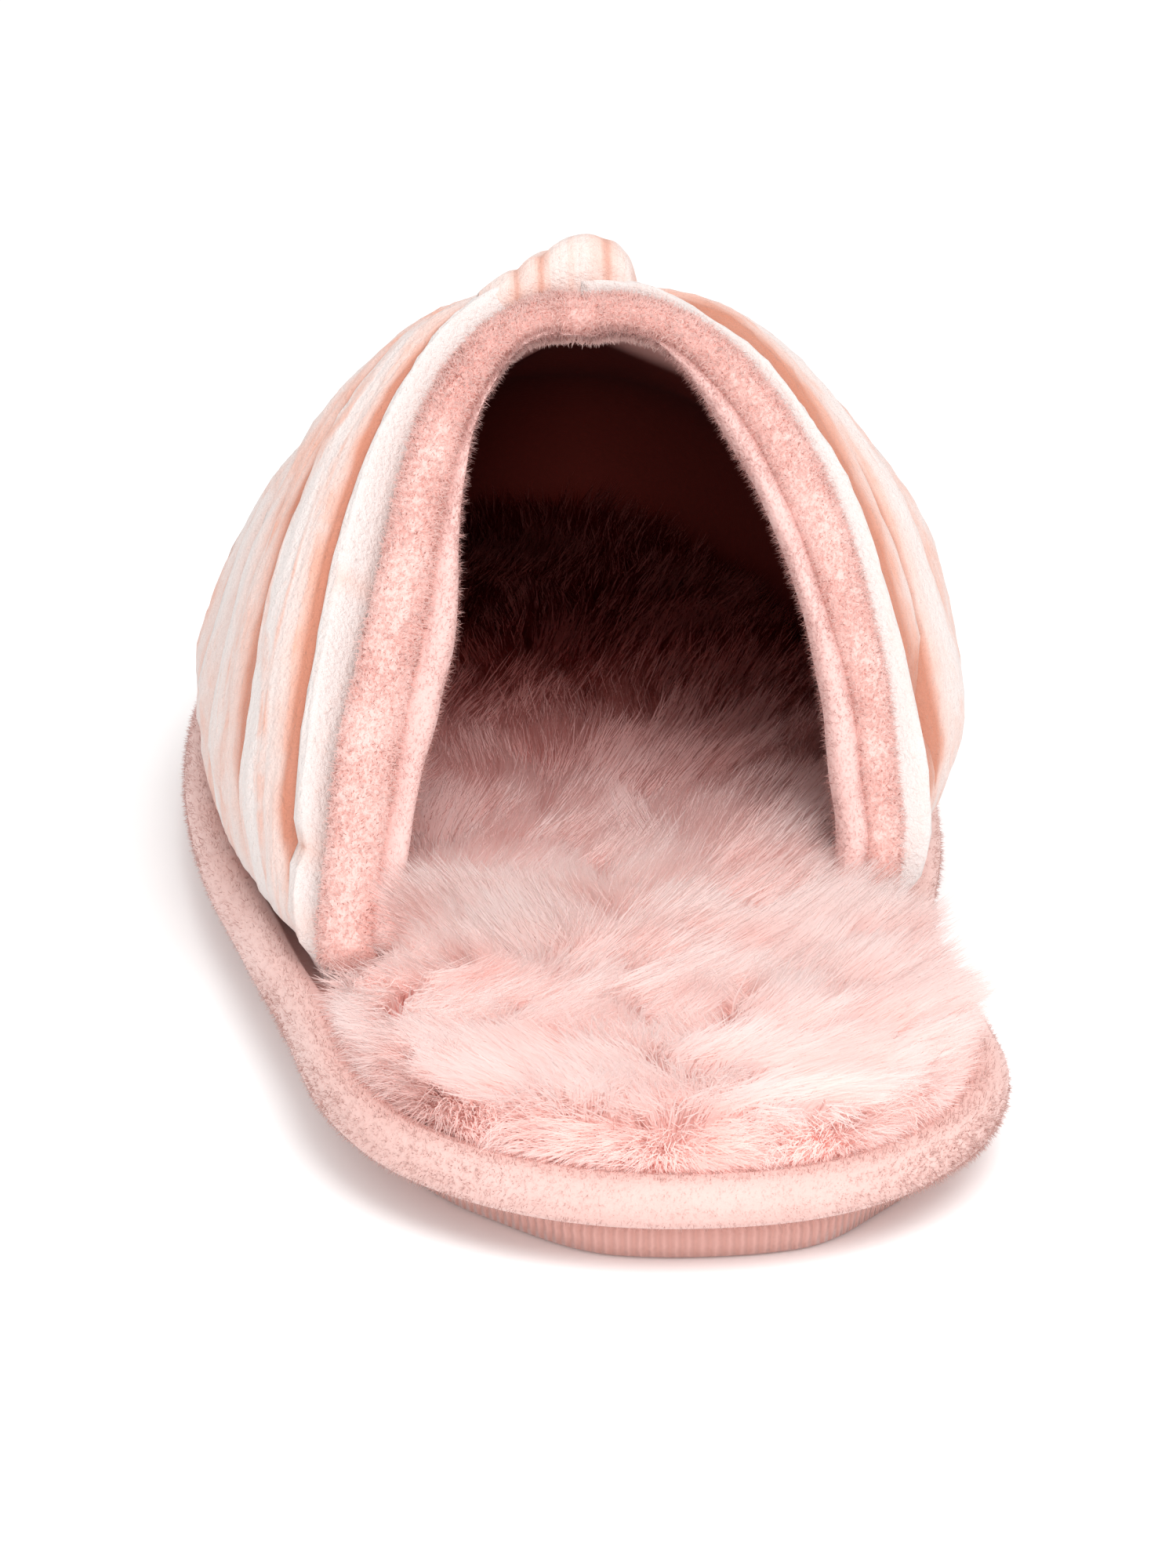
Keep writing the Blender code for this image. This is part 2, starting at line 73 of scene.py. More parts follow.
def curveThrough(rows, column, along):  # smooth curve through a table's rows
    rows = np.array(rows, dtype=float)
    places, values = rows[:, 0], rows[:, column]
    slopes = np.gradient(values, places)
    along = np.clip(along, places[0], places[-1])
    k = np.clip(np.searchsorted(places, along, side="right") - 1, 0, len(places) - 2)
    step = places[k + 1] - places[k]
    s = (along - places[k]) / step
    rise = values[k + 1] - values[k]
    bend, sway = slopes[k] * step - rise, rise - slopes[k + 1] * step
    return values[k] + s * rise + s * (1 - s) * ((1 - s) * bend + s * sway)


def endRounding(distance, length, fullness):
    left = 1 - np.clip(distance / length, 0, 1)
    return (1 - left**fullness) ** (1 / fullness)


def outlinePoint(turn):  # turn runs from the heel up the lateral side, round the toe and back
    turn = np.asarray(turn, dtype=float)
    share = (1 - np.cos(2 * np.pi * turn)) / 2
    y = share * plan["length"]
    centre = curveThrough(plan["outline"], 1, share) * plan["ballWidth"]
    half = curveThrough(plan["outline"], 2, share) * plan["ballWidth"]
    half = half * endRounding(y, plan["heelRound"], plan["heelFullness"])
    half = half * endRounding(plan["length"] - y, plan["toeRound"], plan["toeFullness"])
    side = np.where(turn % 1.0 < 0.5, -1, 1)
    return np.stack((centre + side * half, y), axis=-1)


def rimPoint(turn, inset):  # the outline moved in towards the spine
    ahead = outlinePoint(np.asarray(turn) + 1e-3) - outlinePoint(np.asarray(turn) - 1e-3)
    inwards = np.stack((ahead[..., 1], -ahead[..., 0]), axis=-1)
    inwards = inwards / np.linalg.norm(ahead, axis=-1, keepdims=True)
    return outlinePoint(turn) + np.asarray(inset)[..., None] * inwards


def toeLift(y):
    rising = plan["length"] - plan["flatLength"]
    return plan["toeSpring"] * np.clip((y - plan["flatLength"]) / rising, 0, None) ** 2


def spinePoint(y):  # the middle of the sole, kept short of its ends
    y = np.clip(y, plan["spineStart"], plan["length"] - plan["spineEnd"])
    return np.stack((curveThrough(plan["outline"], 1, y / plan["length"]) * plan["ballWidth"], y), axis=-1)


fineOutline = outlinePoint(np.linspace(0, 1, 2001))
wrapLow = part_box("wrapped_footbed")[0]
origin = np.array((wrapLow[0] - fineOutline[:, 0].min(), wrapLow[1], 0.0))


# Mesh helpers
def putInScene(name, data):
    piece = bpy.data.objects.new(name, data)
    bpy.context.scene.collection.objects.link(piece)
    return piece


def clothGrid(name, across, along, shape, facesUp=False):
    # a grid bent into place and closed where its edges meet, its u and v kept as a UV map
    grid = bmesh.new()
    bmesh.ops.create_grid(grid, x_segments=across, y_segments=along, size=0.5)
    uvLayer = grid.loops.layers.uv.new("cloth")
    for face in grid.faces:
        for loop in face.loops:
            loop[uvLayer].uv = (loop.vert.co.x + 0.5, loop.vert.co.y + 0.5)
    data = bpy.data.meshes.new(name)
    grid.to_mesh(data)
    grid.free()
    flat = np.empty(len(data.vertices) * 3, dtype=np.float32)
    data.vertices.foreach_get("co", flat)
    flat = flat.reshape(-1, 3).astype(float)
    u, v = np.clip(flat[:, 0] + 0.5, 0, 1), np.clip(flat[:, 1] + 0.5, 0, 1)
    points, masks = shape(u, v)
    data.vertices.foreach_set("co", (points + origin).astype(np.float32).ravel())
    for key, values in masks.items():
        layer = data.attributes.new(key, "FLOAT", "POINT")
        layer.data.foreach_set("value", np.asarray(values, dtype=np.float32))
    closed = bmesh.new()
    closed.from_mesh(data)
    bmesh.ops.remove_doubles(closed, verts=closed.verts, dist=2e-6)
    bmesh.ops.dissolve_degenerate(closed, dist=1e-7, edges=closed.edges)
    bmesh.ops.recalc_face_normals(closed, faces=closed.faces)
    if facesUp and sum(face.normal.z for face in closed.faces) < 0:
        bmesh.ops.reverse_faces(closed, faces=closed.faces)
    closed.to_mesh(data)
    closed.free()
    data.shade_smooth()
    return putInScene(name, data)


def unit(vectors):
    return vectors / np.maximum(np.linalg.norm(vectors, axis=-1, keepdims=True), 1e-9)


def fibres(name, roots, normals, first, last, length, width, chance, pointed=False):
    # many hairs as one mesh: each leaves its root along first and ends along last
    count = len(roots)
    middle = roots + unit(first) * (length * 0.5)[:, None]
    tip = middle + unit(last) * (length * 0.5)[:, None]
    side = unit(np.cross(unit(first + last), chance.normal(size=(count, 3))))
    facing = np.cross(side, tip - roots)
    away = (facing * normals).sum(1, keepdims=True) < 0
    side, facing = np.where(away, -side, side), np.where(away, -facing, facing)
    half = side * (width / 2)[:, None]
    tone = chance.random(count)
    if pointed:
        points = np.stack((roots - half, roots + half, tip), axis=1)
        along = np.tile((0.0, 0.0, 1.0), (count, 1))
        corners = np.array((0, 1, 2))
        starts = np.array((0,))
    else:
        waist = half * 0.85
        points = np.stack((roots - half, roots + half, middle + waist, middle - waist, tip), axis=1)
        along = np.tile((0.0, 0.0, 0.5, 0.5, 1.0), (count, 1))
        corners = np.array((0, 1, 2, 3, 3, 2, 4))
        starts = np.array((0, 4))
    perHair = points.shape[1]
    data = bpy.data.meshes.new(name)
    data.vertices.add(count * perHair)
    data.vertices.foreach_set("co", (points + origin).astype(np.float32).ravel())
    loops = (np.arange(count)[:, None] * perHair + corners).ravel()
    data.loops.add(len(loops))
    data.loops.foreach_set("vertex_index", loops.astype(np.int32))
    begin = (np.arange(count)[:, None] * len(corners) + starts).ravel()
    data.polygons.add(len(begin))
    data.polygons.foreach_set("loop_start", begin.astype(np.int32))
    data.update(calc_edges=True)
    uvLayer = data.uv_layers.new(name="pile")
    uv = np.stack((np.repeat(tone, perHair), along.ravel()), axis=1)[loops]
    uvLayer.data.foreach_set("uv", uv.astype(np.float32).ravel())
    data.shade_smooth()
    # hair is lit like the surface it stands on, with a little of its own facing
    soft = unit(np.repeat(unit(normals), perHair, axis=0) + 0.15 * np.repeat(unit(facing), perHair, axis=0))
    data.normals_split_custom_set_from_vertices(soft.astype(np.float32))
    return putInScene(name, data)


def surfaceNoise(points, size, seed):  # smooth random waves about size apart, from -1 to 1
    waves = np.random.default_rng(seed)
    total = np.zeros(len(points))
    for k in range(9):
        ways = waves.normal(size=points.shape[1])
        ways *= 2 * np.pi / size / np.linalg.norm(ways) * waves.uniform(0.6, 1.5)
        total += np.sin(points @ ways + waves.uniform(0, 2 * np.pi))
    return np.clip(total / 3.2, -1, 1)


def toClump(points, spacing, seed):  # vector to the middle of each point's own tuft, and the tuft's number
    cell = np.floor(points / spacing).astype(int)
    best = np.full(len(points), 9.0)
    nearest = np.zeros_like(points)
    number = np.zeros(len(points))
    for dx in (-1, 0, 1):
        for dy in (-1, 0, 1):
            ix, iy = cell[:, 0] + dx, cell[:, 1] + dy
            first = np.modf(np.abs(np.sin(ix * 127.1 + iy * 311.7 + seed) * 43758.545))[0]
            second = np.modf(np.abs(np.sin(ix * 269.5 + iy * 183.3 + seed) * 24634.633))[0]
            middle = np.stack((ix + 0.15 + 0.7 * first, iy + 0.15 + 0.7 * second), axis=1) * spacing
            away = np.linalg.norm(middle - points, axis=1)
            closer = away < best
            best = np.where(closer, away, best)
            nearest[closer] = (middle - points)[closer]
            number = np.where(closer, first, number)
    return nearest, number


# Material helpers
def plug(tree, socket, value):  # a link where the value is a socket, or else a constant
    if isinstance(value, bpy.types.NodeSocket):
        tree.links.new(value, socket)
    elif socket.type == "RGBA":
        socket.default_value = (*value, 1.0)
    else:
        socket.default_value = value


def addNode(tree, kind, **values):
    node = tree.nodes.new(kind)
    for key, value in values.items():
        if key in node.inputs:
            plug(tree, node.inputs[key], value)
        else:
            setattr(node, key, value)
    return node


def mixColour(tree, factor, first, second):
    node = addNode(tree, "ShaderNodeMix", data_type="RGBA")
    for place, value in ((0, factor), (6, first), (7, second)):
        plug(tree, node.inputs[place], value)
    return node.outputs[2]


def mixShader(tree, factor, first, second):
    node = tree.nodes.new("ShaderNodeMixShader")
    for socket, value in zip(node.inputs, (factor, first.outputs[0], second.outputs[0])):
        plug(tree, socket, value)
    return node


def calculate(tree, operation, *values, clamp=False):
    node = addNode(tree, "ShaderNodeMath", operation=operation, use_clamp=clamp)
    for socket, value in zip(node.inputs, values):
        plug(tree, socket, value)
    return node.outputs[0]


def spread(tree, value, start=0.0, end=1.0, least=0.0, most=1.0):  # start to end become least to most
    limits = {"From Min": start, "From Max": end, "To Min": least, "To Max": most}
    return addNode(tree, "ShaderNodeMapRange", Value=value, **limits).outputs[0]


def newMaterial(name, roughness=0.9, sheen=0.0, sheenRoughness=0.4, specular=0.2):
    material = bpy.data.materials.new(name)
    material.use_nodes = True
    shader = material.node_tree.nodes["Principled BSDF"]
    shader.inputs["Roughness"].default_value = roughness
    shader.inputs["Specular IOR Level"].default_value = specular
    shader.inputs["Sheen Weight"].default_value = sheen
    shader.inputs["Sheen Roughness"].default_value = sheenRoughness
    return material, material.node_tree, shader


def finish(tree, shader, colour, height, strength, distance):  # colour and relief of a cloth
    relief = addNode(tree, "ShaderNodeBump", Strength=strength, Distance=distance, Height=height)
    plug(tree, shader.inputs["Base Color"], colour)
    plug(tree, shader.inputs["Normal"], relief.outputs[0])


def newGroup(name, inputs, outputs):
    group = bpy.data.node_groups.new(name, "ShaderNodeTree")
    for way, sockets in (("INPUT", inputs), ("OUTPUT", outputs)):
        for label, kind in sockets.items():
            group.interface.new_socket(name=label, in_out=way, socket_type="NodeSocket" + kind)
    return group, group.nodes.new("NodeGroupInput"), group.nodes.new("NodeGroupOutput")


# pileTone: colour of a hair from its root to its tip, with a slow drift over the surface
pileTone, pileIn, pileOut = newGroup(
    "pileTone", {"Root": "Color", "Middle": "Color", "Tip": "Color", "Streak": "Color",
                 "Streak Size": "Float", "Streak Amount": "Float"}, {"Colour": "Color"})
pileUv = addNode(pileTone, "ShaderNodeUVMap", uv_map="pile")
pileSplit = addNode(pileTone, "ShaderNodeSeparateXYZ", Vector=pileUv.outputs[0])
hairTone, hairHeight = pileSplit.outputs[0], pileSplit.outputs[1]
pilePlace = addNode(pileTone, "ShaderNodeTexCoord")
streakNoise = addNode(pileTone, "ShaderNodeTexNoise", Vector=pilePlace.outputs["Object"],
                      Scale=pileIn.outputs["Streak Size"], Detail=2.0, Roughness=0.5)
streaks = spread(pileTone, streakNoise.outputs["Fac"], 0.46, 0.68)
drift = calculate(pileTone, "MULTIPLY", streaks, pileIn.outputs["Streak Amount"])
drift = calculate(pileTone, "ADD", drift, spread(pileTone, hairTone, most=0.16), clamp=True)
tipColour = mixColour(pileTone, drift, pileIn.outputs["Tip"], pileIn.outputs["Streak"])
lowColour = mixColour(pileTone, spread(pileTone, hairHeight, 0.0, 0.40),
                      pileIn.outputs["Root"], pileIn.outputs["Middle"])
hairColour = mixColour(pileTone, spread(pileTone, hairHeight, 0.30, 0.80), lowColour, tipColour)
pileTone.links.new(hairColour, pileOut.inputs[0])

# napGrain: the fine stand of a short pile, and a slow mottle where it has been brushed
napGrain, napIn, napOut = newGroup(
    "napGrain", {"Vector": "Vector", "Grain Size": "Float", "Mottle Size": "Float"},
    {"Grain": "Float", "Mottle": "Float"})
napFine = addNode(napGrain, "ShaderNodeTexNoise", Vector=napIn.outputs["Vector"],
                  Scale=napIn.outputs["Grain Size"], Detail=3.0, Roughness=0.65)
napSlow = addNode(napGrain, "ShaderNodeTexNoise", Vector=napIn.outputs["Vector"],
                  Scale=napIn.outputs["Mottle Size"], Detail=4.0, Roughness=0.6)
napGrain.links.new(napFine.outputs["Fac"], napOut.inputs["Grain"])
napGrain.links.new(spread(napGrain, napSlow.outputs["Fac"], 0.35, 0.65), napOut.inputs["Mottle"])


def napOf(tree, grain, mottle):
    place = addNode(tree, "ShaderNodeTexCoord")
    sizes = {"Vector": place.outputs["Object"], "Grain Size": grain, "Mottle Size": mottle}
    group = addNode(tree, "ShaderNodeGroup", node_tree=napGrain, **sizes)
    return group.outputs["Grain"], group.outputs["Mottle"]


def maskOf(tree, name):
    return addNode(tree, "ShaderNodeAttribute", attribute_name=name).outputs["Fac"]


def pileMaterial(name, look, size, amount, through=None):
    material, tree, shader = newMaterial(name, roughness=1.0, specular=0.0)
    tones = {key.capitalize(): look[key] for key in ("root", "middle", "tip", "streak")}
    tones.update({"Streak Size": size, "Streak Amount": amount})
    colour = addNode(tree, "ShaderNodeGroup", node_tree=pileTone, **tones).outputs[0]
    if "inside" in look:  # painted shade: the pile turns deeper rose on its way into the toe
        place = addNode(tree, "ShaderNodeTexCoord")
        split = addNode(tree, "ShaderNodeSeparateXYZ", Vector=place.outputs["Object"])
        depth = spread(tree, split.outputs["Y"], look["shadeFrom"], look["shadeTo"], most=0.9)
        colour = mixColour(tree, depth, colour, look["inside"])
    plug(tree, shader.inputs["Base Color"], colour)
    behind = addNode(tree, "ShaderNodeBsdfTranslucent", Color=colour)
    surface = mixShader(tree, 0.45, shader, behind)
    if through:  # thin hair lets part of the light on to the hair below
        rays = addNode(tree, "ShaderNodeLightPath")
        clear = addNode(tree, "ShaderNodeBsdfTransparent", Color=through)
        surface = mixShader(tree, rays.outputs["Is Shadow Ray"], surface, clear)
    tree.links.new(surface.outputs[0], tree.nodes["Material Output"].inputs["Surface"])
    return material


def napMaterial(name, look, grain, mottle, bump=0.0003, strength=0.5, crease=None, sheen=0.3):
    material, tree, shader = newMaterial(name, roughness=0.92, sheen=sheen)
    fine, slow = napOf(tree, grain, mottle)
    colour = mixColour(tree, slow, mixColour(tree, fine, look["deep"], look["pale"]), look["pale"])
    # painted shade where the crease mask is set: in cloth folds, beside the wrap's seam and deep inside the
    # lining
    if crease:
        colour = mixColour(tree, maskOf(tree, "crease"), colour, crease)
    finish(tree, shader, colour, fine, strength, bump)
    return material


def fuzzTones(look):  # short hair takes its tones from the cloth that it stands on
    return {"root": look["deep"], "middle": look["pale"], "tip": look["tip"], "streak": look["deep"]}


def groundTones(look):  # and the cloth under long hair takes them from the hair
    return {"pale": look["middle"], "deep": look["root"]}


def dress(piece, material, slot, *nodes):
    piece.data.materials.clear()
    piece.data.materials.append(material)
    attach(piece, "root")
    if nodes:
        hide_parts(*nodes)
    return piece


# Outsole: ribbed textile, set in under the wrap
outsoleLook = {
    "edge": 0.0010, "curl": 0.0003, "pale": (0.60, 0.34, 0.30), "deep": (0.54, 0.29, 0.25),
    "ribs": 328.92, "endTuck": 0.0030,  # ribs in the whole outline
}


def soleBody(profile, wobble=0.0, endTuck=0.0):
    # profile rows: share of the way round the section, inset, way to the spine, height
    def shape(u, v):
        inset, inward, height = (np.interp(v, profile[:, 0], profile[:, k]) for k in (1, 2, 3))
        ahead = unit(outlinePoint(u + 1e-3) - outlinePoint(u - 1e-3))
        rim = rimPoint(u, inset + endTuck * ease((np.abs(ahead[:, 1]) - 0.25) / 0.5))
        if wobble:
            waves = surfaceNoise(np.column_stack((rim, height)), 0.035, 5)
            rim = rim + (rimPoint(u, inset + 0.001) - rim) * (wobble / 0.001 * waves)[:, None]
        flat = rim + (spinePoint(rim[:, 1]) - rim) * inward[:, None]
        # the bead's inner top beside the vamp's foot, marked for a dark seam line with painted shade from the
        # velvet's overhang
        seamAndShade = ease((inset - 0.0044) / 0.0012) * (height > bedBase + 0.003)
        return np.column_stack((flat, height + toeLift(flat[:, 1]))), {"crease": seamAndShade}
    return shape


def sectionRows(rows):  # spaces a section's rows by their length
    rows = np.array(rows, dtype=float)
    steps = np.hypot(np.diff(rows[:, 0]) - 0.03 * np.diff(rows[:, 1]), np.diff(rows[:, 2]))
    places = np.concatenate(([0], np.cumsum(np.maximum(steps, 2e-4))))
    return np.column_stack((places / places[-1], rows))


def outsoleSection():  # from the middle of the top, out over the edge and back under
    top, curl = layers["outsole"], outsoleLook["curl"]
    rows = ((0.0, 1.0, top), (0.0040, 0.0, top), (0.0004, 0.0, top), (0.0, 0.0, top - 0.0005),
            (0.0002, 0.0, outsoleLook["edge"]), (2 * curl, 0.0, curl), (0.0013, 0.0, 0.0), (0.0, 1.0, 0.0))
    return sectionRows([(layers["outsoleInset"] + out, inward, height) for out, inward, height in rows])


ribSole = clothGrid("ribSole", 380, 30, soleBody(outsoleSection(), endTuck=outsoleLook["endTuck"]))
ribMaterial, tree, shader = newMaterial("ribTextile", roughness=0.95, sheen=0.2)
clothUv = addNode(tree, "ShaderNodeUVMap", uv_map="cloth")
# a wave texture goes through 20 radians in each unit of its scale
ribs = addNode(tree, "ShaderNodeTexWave", wave_type="BANDS", bands_direction="X", Vector=clothUv.outputs[0],
               Scale=outsoleLook["ribs"] * 2 * math.pi / 20, Distortion=0.6, Detail=1.0).outputs["Fac"]
finish(tree, shader, mixColour(tree, ribs, outsoleLook["deep"], outsoleLook["pale"]), ribs, 0.6, 0.0004)
dress(ribSole, ribMaterial, "outsole_textile", "outsole")
print("slipper: outsole made")


# Wrapped footbed: puffy brushed band round the sole
wrapLook = {
    "pale": (0.72, 0.485, 0.445), "deep": (0.655, 0.40, 0.36), "tip": (0.80, 0.58, 0.54),
    # seam: darker rose on the bead's inner top beside the velvet's foot, partly a dark seam line and partly
    # painted shade under the velvet's overhang
    "seam": (0.62, 0.31, 0.27), "puff": 2.3, "wobble": 0.00018,
    "fuzzLength": 0.0008, "fuzzWidth": 0.00010, "fuzzCount": 50000, "fuzzTangle": 0.75,
}
rootDepth = 0.0002  # how far a short hair starts inside its cloth


def beadSection():
    half, foot = layers["beadWidth"] / 2, vampBase - 0.0006
    rows = [(half, 1.0, bedBase), (half + 0.004, 0.0, bedBase)]
    power = 2 / wrapLook["puff"]
    for degrees in range(-90, 131, 11):
        angle = math.radians(degrees)
        side = math.copysign(abs(math.cos(angle)) ** power, math.cos(angle))
        lift = math.copysign(abs(math.sin(angle)) ** power, math.sin(angle))
        rows.append((half * (1 - side), 0.0, bedBase + layers["beadHeight"] / 2 * (1 + lift)))
    rows += [(2 * half + 0.0001, 0.0, foot), (2 * half + 0.0008, 0.0, foot), (2 * half, 1.0, foot)]
    return sectionRows(rows)


wrapBand = clothGrid("wrapBand", 380, 42, soleBody(beadSection(), wobble=wrapLook["wobble"]))
wrapMaterial = napMaterial("brushedWrap", wrapLook, grain=1700.0, mottle=70.0, crease=wrapLook["seam"])
dress(wrapBand, wrapMaterial, "wrap_fabric", "wrapped_footbed")

chance = np.random.default_rng(21)
count = wrapLook["fuzzCount"]
turns = chance.random(count)
angles = np.radians(chance.uniform(-80, 115, count))
inset = layers["beadWidth"] / 2 * (1 - np.cos(angles))
rim = rimPoint(turns, inset)
outward = -unit(rimPoint(turns, inset + 0.001) - rim)
heights = bedBase + layers["beadHeight"] / 2 * (1 + np.sin(angles)) + toeLift(rim[:, 1])
normals = np.column_stack((outward * np.cos(angles)[:, None], np.sin(angles)))
ways = unit(normals + wrapLook["fuzzTangle"] * chance.normal(size=(count, 3)))
lengths = wrapLook["fuzzLength"] * chance.uniform(0.6, 1.3, count)
wrapFuzz = fibres("wrapFuzz", np.column_stack((rim, heights)) - normals * rootDepth, normals,
                  ways, unit(ways + 0.3 * normals), lengths, np.full(count, wrapLook["fuzzWidth"]),
                  chance, pointed=True)
dress(wrapFuzz, pileMaterial("wrapFuzz", fuzzTones(wrapLook), 400.0, 0.3), "wrap_fabric")
print("slipper: wrap made")


# Vamp: crushed velvet in folds that fan out from the band
vamp = {
    "footLateral": 0.068, "footMedial": 0.080, "throat": 0.126, "rise": 0.0775 - vampBase, "wall": 0.0036,
    "toeRound": 0.034, "lateralBulge": 0.0010, "medialBulge": 0.0080, "sway": 0.0045,
    "collarBulge": 0.0080, "footBulge": 0.0058, "lateralFlare": 0.0038, "flareShare": 0.10,
    "collarFullness": 2.4, "shoulderFullness": 2.9, "bandLength": 0.044, "bandSpread": 0.75,
    # share of the way from the throat to the toe, then share of the throat's rise
    "ridge": ((0.00, 1.00), (0.20, 0.93), (0.45, 0.76), (0.75, 0.54), (1.00, 0.41)),
}
folds = {
    "cloth": 0.0014, "strip": 0.0060, "stripPuff": 0.0014, "medialPuff": 0.0012, "tuckIn": 0.0052,
    "hollow": 0.83, "hollowDepth": 0.0026, "overhang": 0.0018, "fullHeight": 0.0026,
    # fan where each fold starts, and its height in metres, outwards from the collar strip
    "lateral": ((0.0125, 0.0026), (0.058, 0.0032), (0.120, 0.0032), (0.180, 0.0034), (0.240, 0.0028),
                (0.300, 0.0022), (0.360, 0.0018), (0.430, 0.0014), (0.500, 0.0)),
    "medial": ((0.0125, 0.0036), (0.046, 0.0038), (0.100, 0.0036), (0.165, 0.0032), (0.235, 0.0022),
               (0.300, 0.0018), (0.365, 0.0018), (0.430, 0.0014), (0.500, 0.0)),
    # share of the way through a fold, then of its height: a slow rise from the groove, a crisp far edge
    "lip": ((0.00, 0.00), (0.10, 0.30), (0.30, 0.62), (0.60, 0.90), (0.84, 1.00), (0.93, 0.86), (1.00, 0.00)),
}
featherTurns = np.linspace(0, 1, 721)
featherLine = rimPoint(featherTurns, np.full(721, vampInset))


def featherSide(medial):  # one side of the vamp's foot line, from the heel to the toe
    part = slice(360, None) if medial else slice(0, 361)
    order = -1 if medial else 1
    return featherLine[part][::order], featherTurns[part][::order]


def featherAt(y, medial):
    line, _ = featherSide(medial)
    return np.interp(y, line[:, 1], line[:, 0])


def featherRun(foot, medial):  # the line from the collar's foot to the toe, by shares of its length
    line, turns = featherSide(medial)
    steps = np.linspace(np.interp(foot, line[:, 1], turns), 0.5, 241)
    run = np.column_stack([np.interp(steps, featherTurns, featherLine[:, k]) for k in (0, 1)])
    lengths = np.concatenate(([0], np.cumsum(np.linalg.norm(np.diff(run, axis=0), axis=1))))
    return lengths / lengths[-1], run, lengths[-1]


runs = [featherRun(vamp["footLateral"], False), featherRun(vamp["footMedial"], True)]


def vampRise(y):
    tip = plan["length"] - vampInset
    along = (y - vamp["throat"]) / (tip - vamp["throat"])
    rounded = endRounding(tip - y, vamp["toeRound"], plan["toeFullness"])
    return vamp["rise"] * curveThrough(vamp["ridge"], 1, along) * rounded


def ridgePoint(fan):
    share = np.sin(np.pi / 2 * np.clip(2 * np.minimum(fan, 1 - fan) / vamp["bandSpread"], 0, 1))
    y = vamp["throat"] + vamp["bandLength"] * share
    middle = (featherAt(y, False) + featherAt(y, True)) / 2
    return np.stack((middle + vamp["sway"] * share, y), axis=-1)


def footPoint(fan, share):
    lateral, medial = (
        np.stack([np.interp(share, places, run[:, k]) for k in (0, 1)], axis=-1) for places, run, _ in runs)
    return np.where((fan > 0.5)[..., None], medial, lateral)


def vampPoint(fan, drop):
    # fan: 0 at the lateral collar to 1 at the medial one; drop: 0 at the ridge to 1 at the sole
    fan, drop = np.broadcast_arrays(np.asarray(fan, dtype=float), np.asarray(drop, dtype=float))
    top = ridgePoint(fan)
    share = 2 * np.minimum(fan, 1 - fan)
    foot = footPoint(fan, share)
    out = np.sin(drop * np.pi / 2)
    lean = ease(share / 0.7)
    ahead = (1 - lean) * (1 - np.cos(drop * np.pi / 2)) + lean * out
    flat = top + (foot - top) * np.stack((out, ahead), axis=-1)
    fuller = vamp["shoulderFullness"] - vamp["collarFullness"]
    fullness = vamp["collarFullness"] + fuller * ease(share / 0.3)
    topRise = vampRise(top[..., 1])
    side = topRise * np.sqrt(np.maximum(1 - out**fullness, 0))
    front = vampRise(top[..., 1] + (plan["length"] - vampInset - top[..., 1]) * out)
    z = vampBase + (1 - lean) * side + lean * front
    level = np.clip((z - beadTop) / topRise, 0, 1)
    rounding = np.sin(np.pi * level**0.8)
    bulge = vamp["lateralBulge"] + (vamp["medialBulge"] - vamp["lateralBulge"]) * ease((fan - 0.35) / 0.45)
    bulge = bulge * ease(0.3 + share / 0.3) * rounding
    near = share / vamp["flareShare"]
    flare = vamp["lateralFlare"] * near * np.exp((1 - near**2) / 2)
    bulge = bulge + np.where(fan < 0.5, flare * rounding, 0)
    low = np.sin(np.pi / 2 * np.minimum(level / 0.07, 1)) ** 0.7 * (1 - level) ** 5
    bulge = bulge + vamp["footBulge"] * low * (1 - ease((share - 0.5) / 0.3))
    # the medial side stands up steeply beside the collar
    steep = np.sin(np.pi / 2 * np.minimum(level / 0.2, 1)) ** 0.6 * np.sqrt(1 - level**6)
    nearCollar = (1 - ease(share / 0.18)) * (fan > 0.5)
    bulge = bulge + (vamp["collarBulge"] * steep - bulge) * nearCollar
    flat = flat + unit(foot - top) * bulge[..., None]
    return np.concatenate((flat, (z + toeLift(flat[..., 1]))[..., None]), axis=-1)


def vampNormal(fan, drop):  # the way out of the vamp's face, and the way along the fan
    high, low = (vampPoint(np.clip(fan + step, 0, 1), drop) for step in (2e-3, -2e-3))
    ahead, behind = (vampPoint(fan, np.clip(drop + step, 0, 1)) for step in (4e-3, -4e-3))
    return unit(np.cross(high - low, ahead - behind)), unit(high - low)


def foldSwell(drop):
    return ease((drop - 0.05) / 0.28) * (1 - ease((drop - 0.86) / 0.13))


stripShare = 2 * folds["strip"] / (runs[0][2] + runs[1][2])


def foldShape(fan):  # height of the fold at fan, share of the way through it, and its full height
    out = np.minimum(fan, 1 - fan)
    phase, size = np.full(len(fan), 0.5), np.zeros(len(fan))
    for side, mine in (("lateral", fan <= 0.5), ("medial", fan > 0.5)):
        rows = np.array(folds[side])
        k = np.clip(np.searchsorted(rows[:, 0], out, side="right") - 1, 0, len(rows) - 2)
        here = mine & (out >= rows[0, 0])
        phase = np.where(here, (out - rows[k, 0]) / (rows[k + 1, 0] - rows[k, 0]), phase)
        size = np.where(here, rows[k, 1], size)
    return size * curveThrough(folds["lip"], 1, phase), phase, size
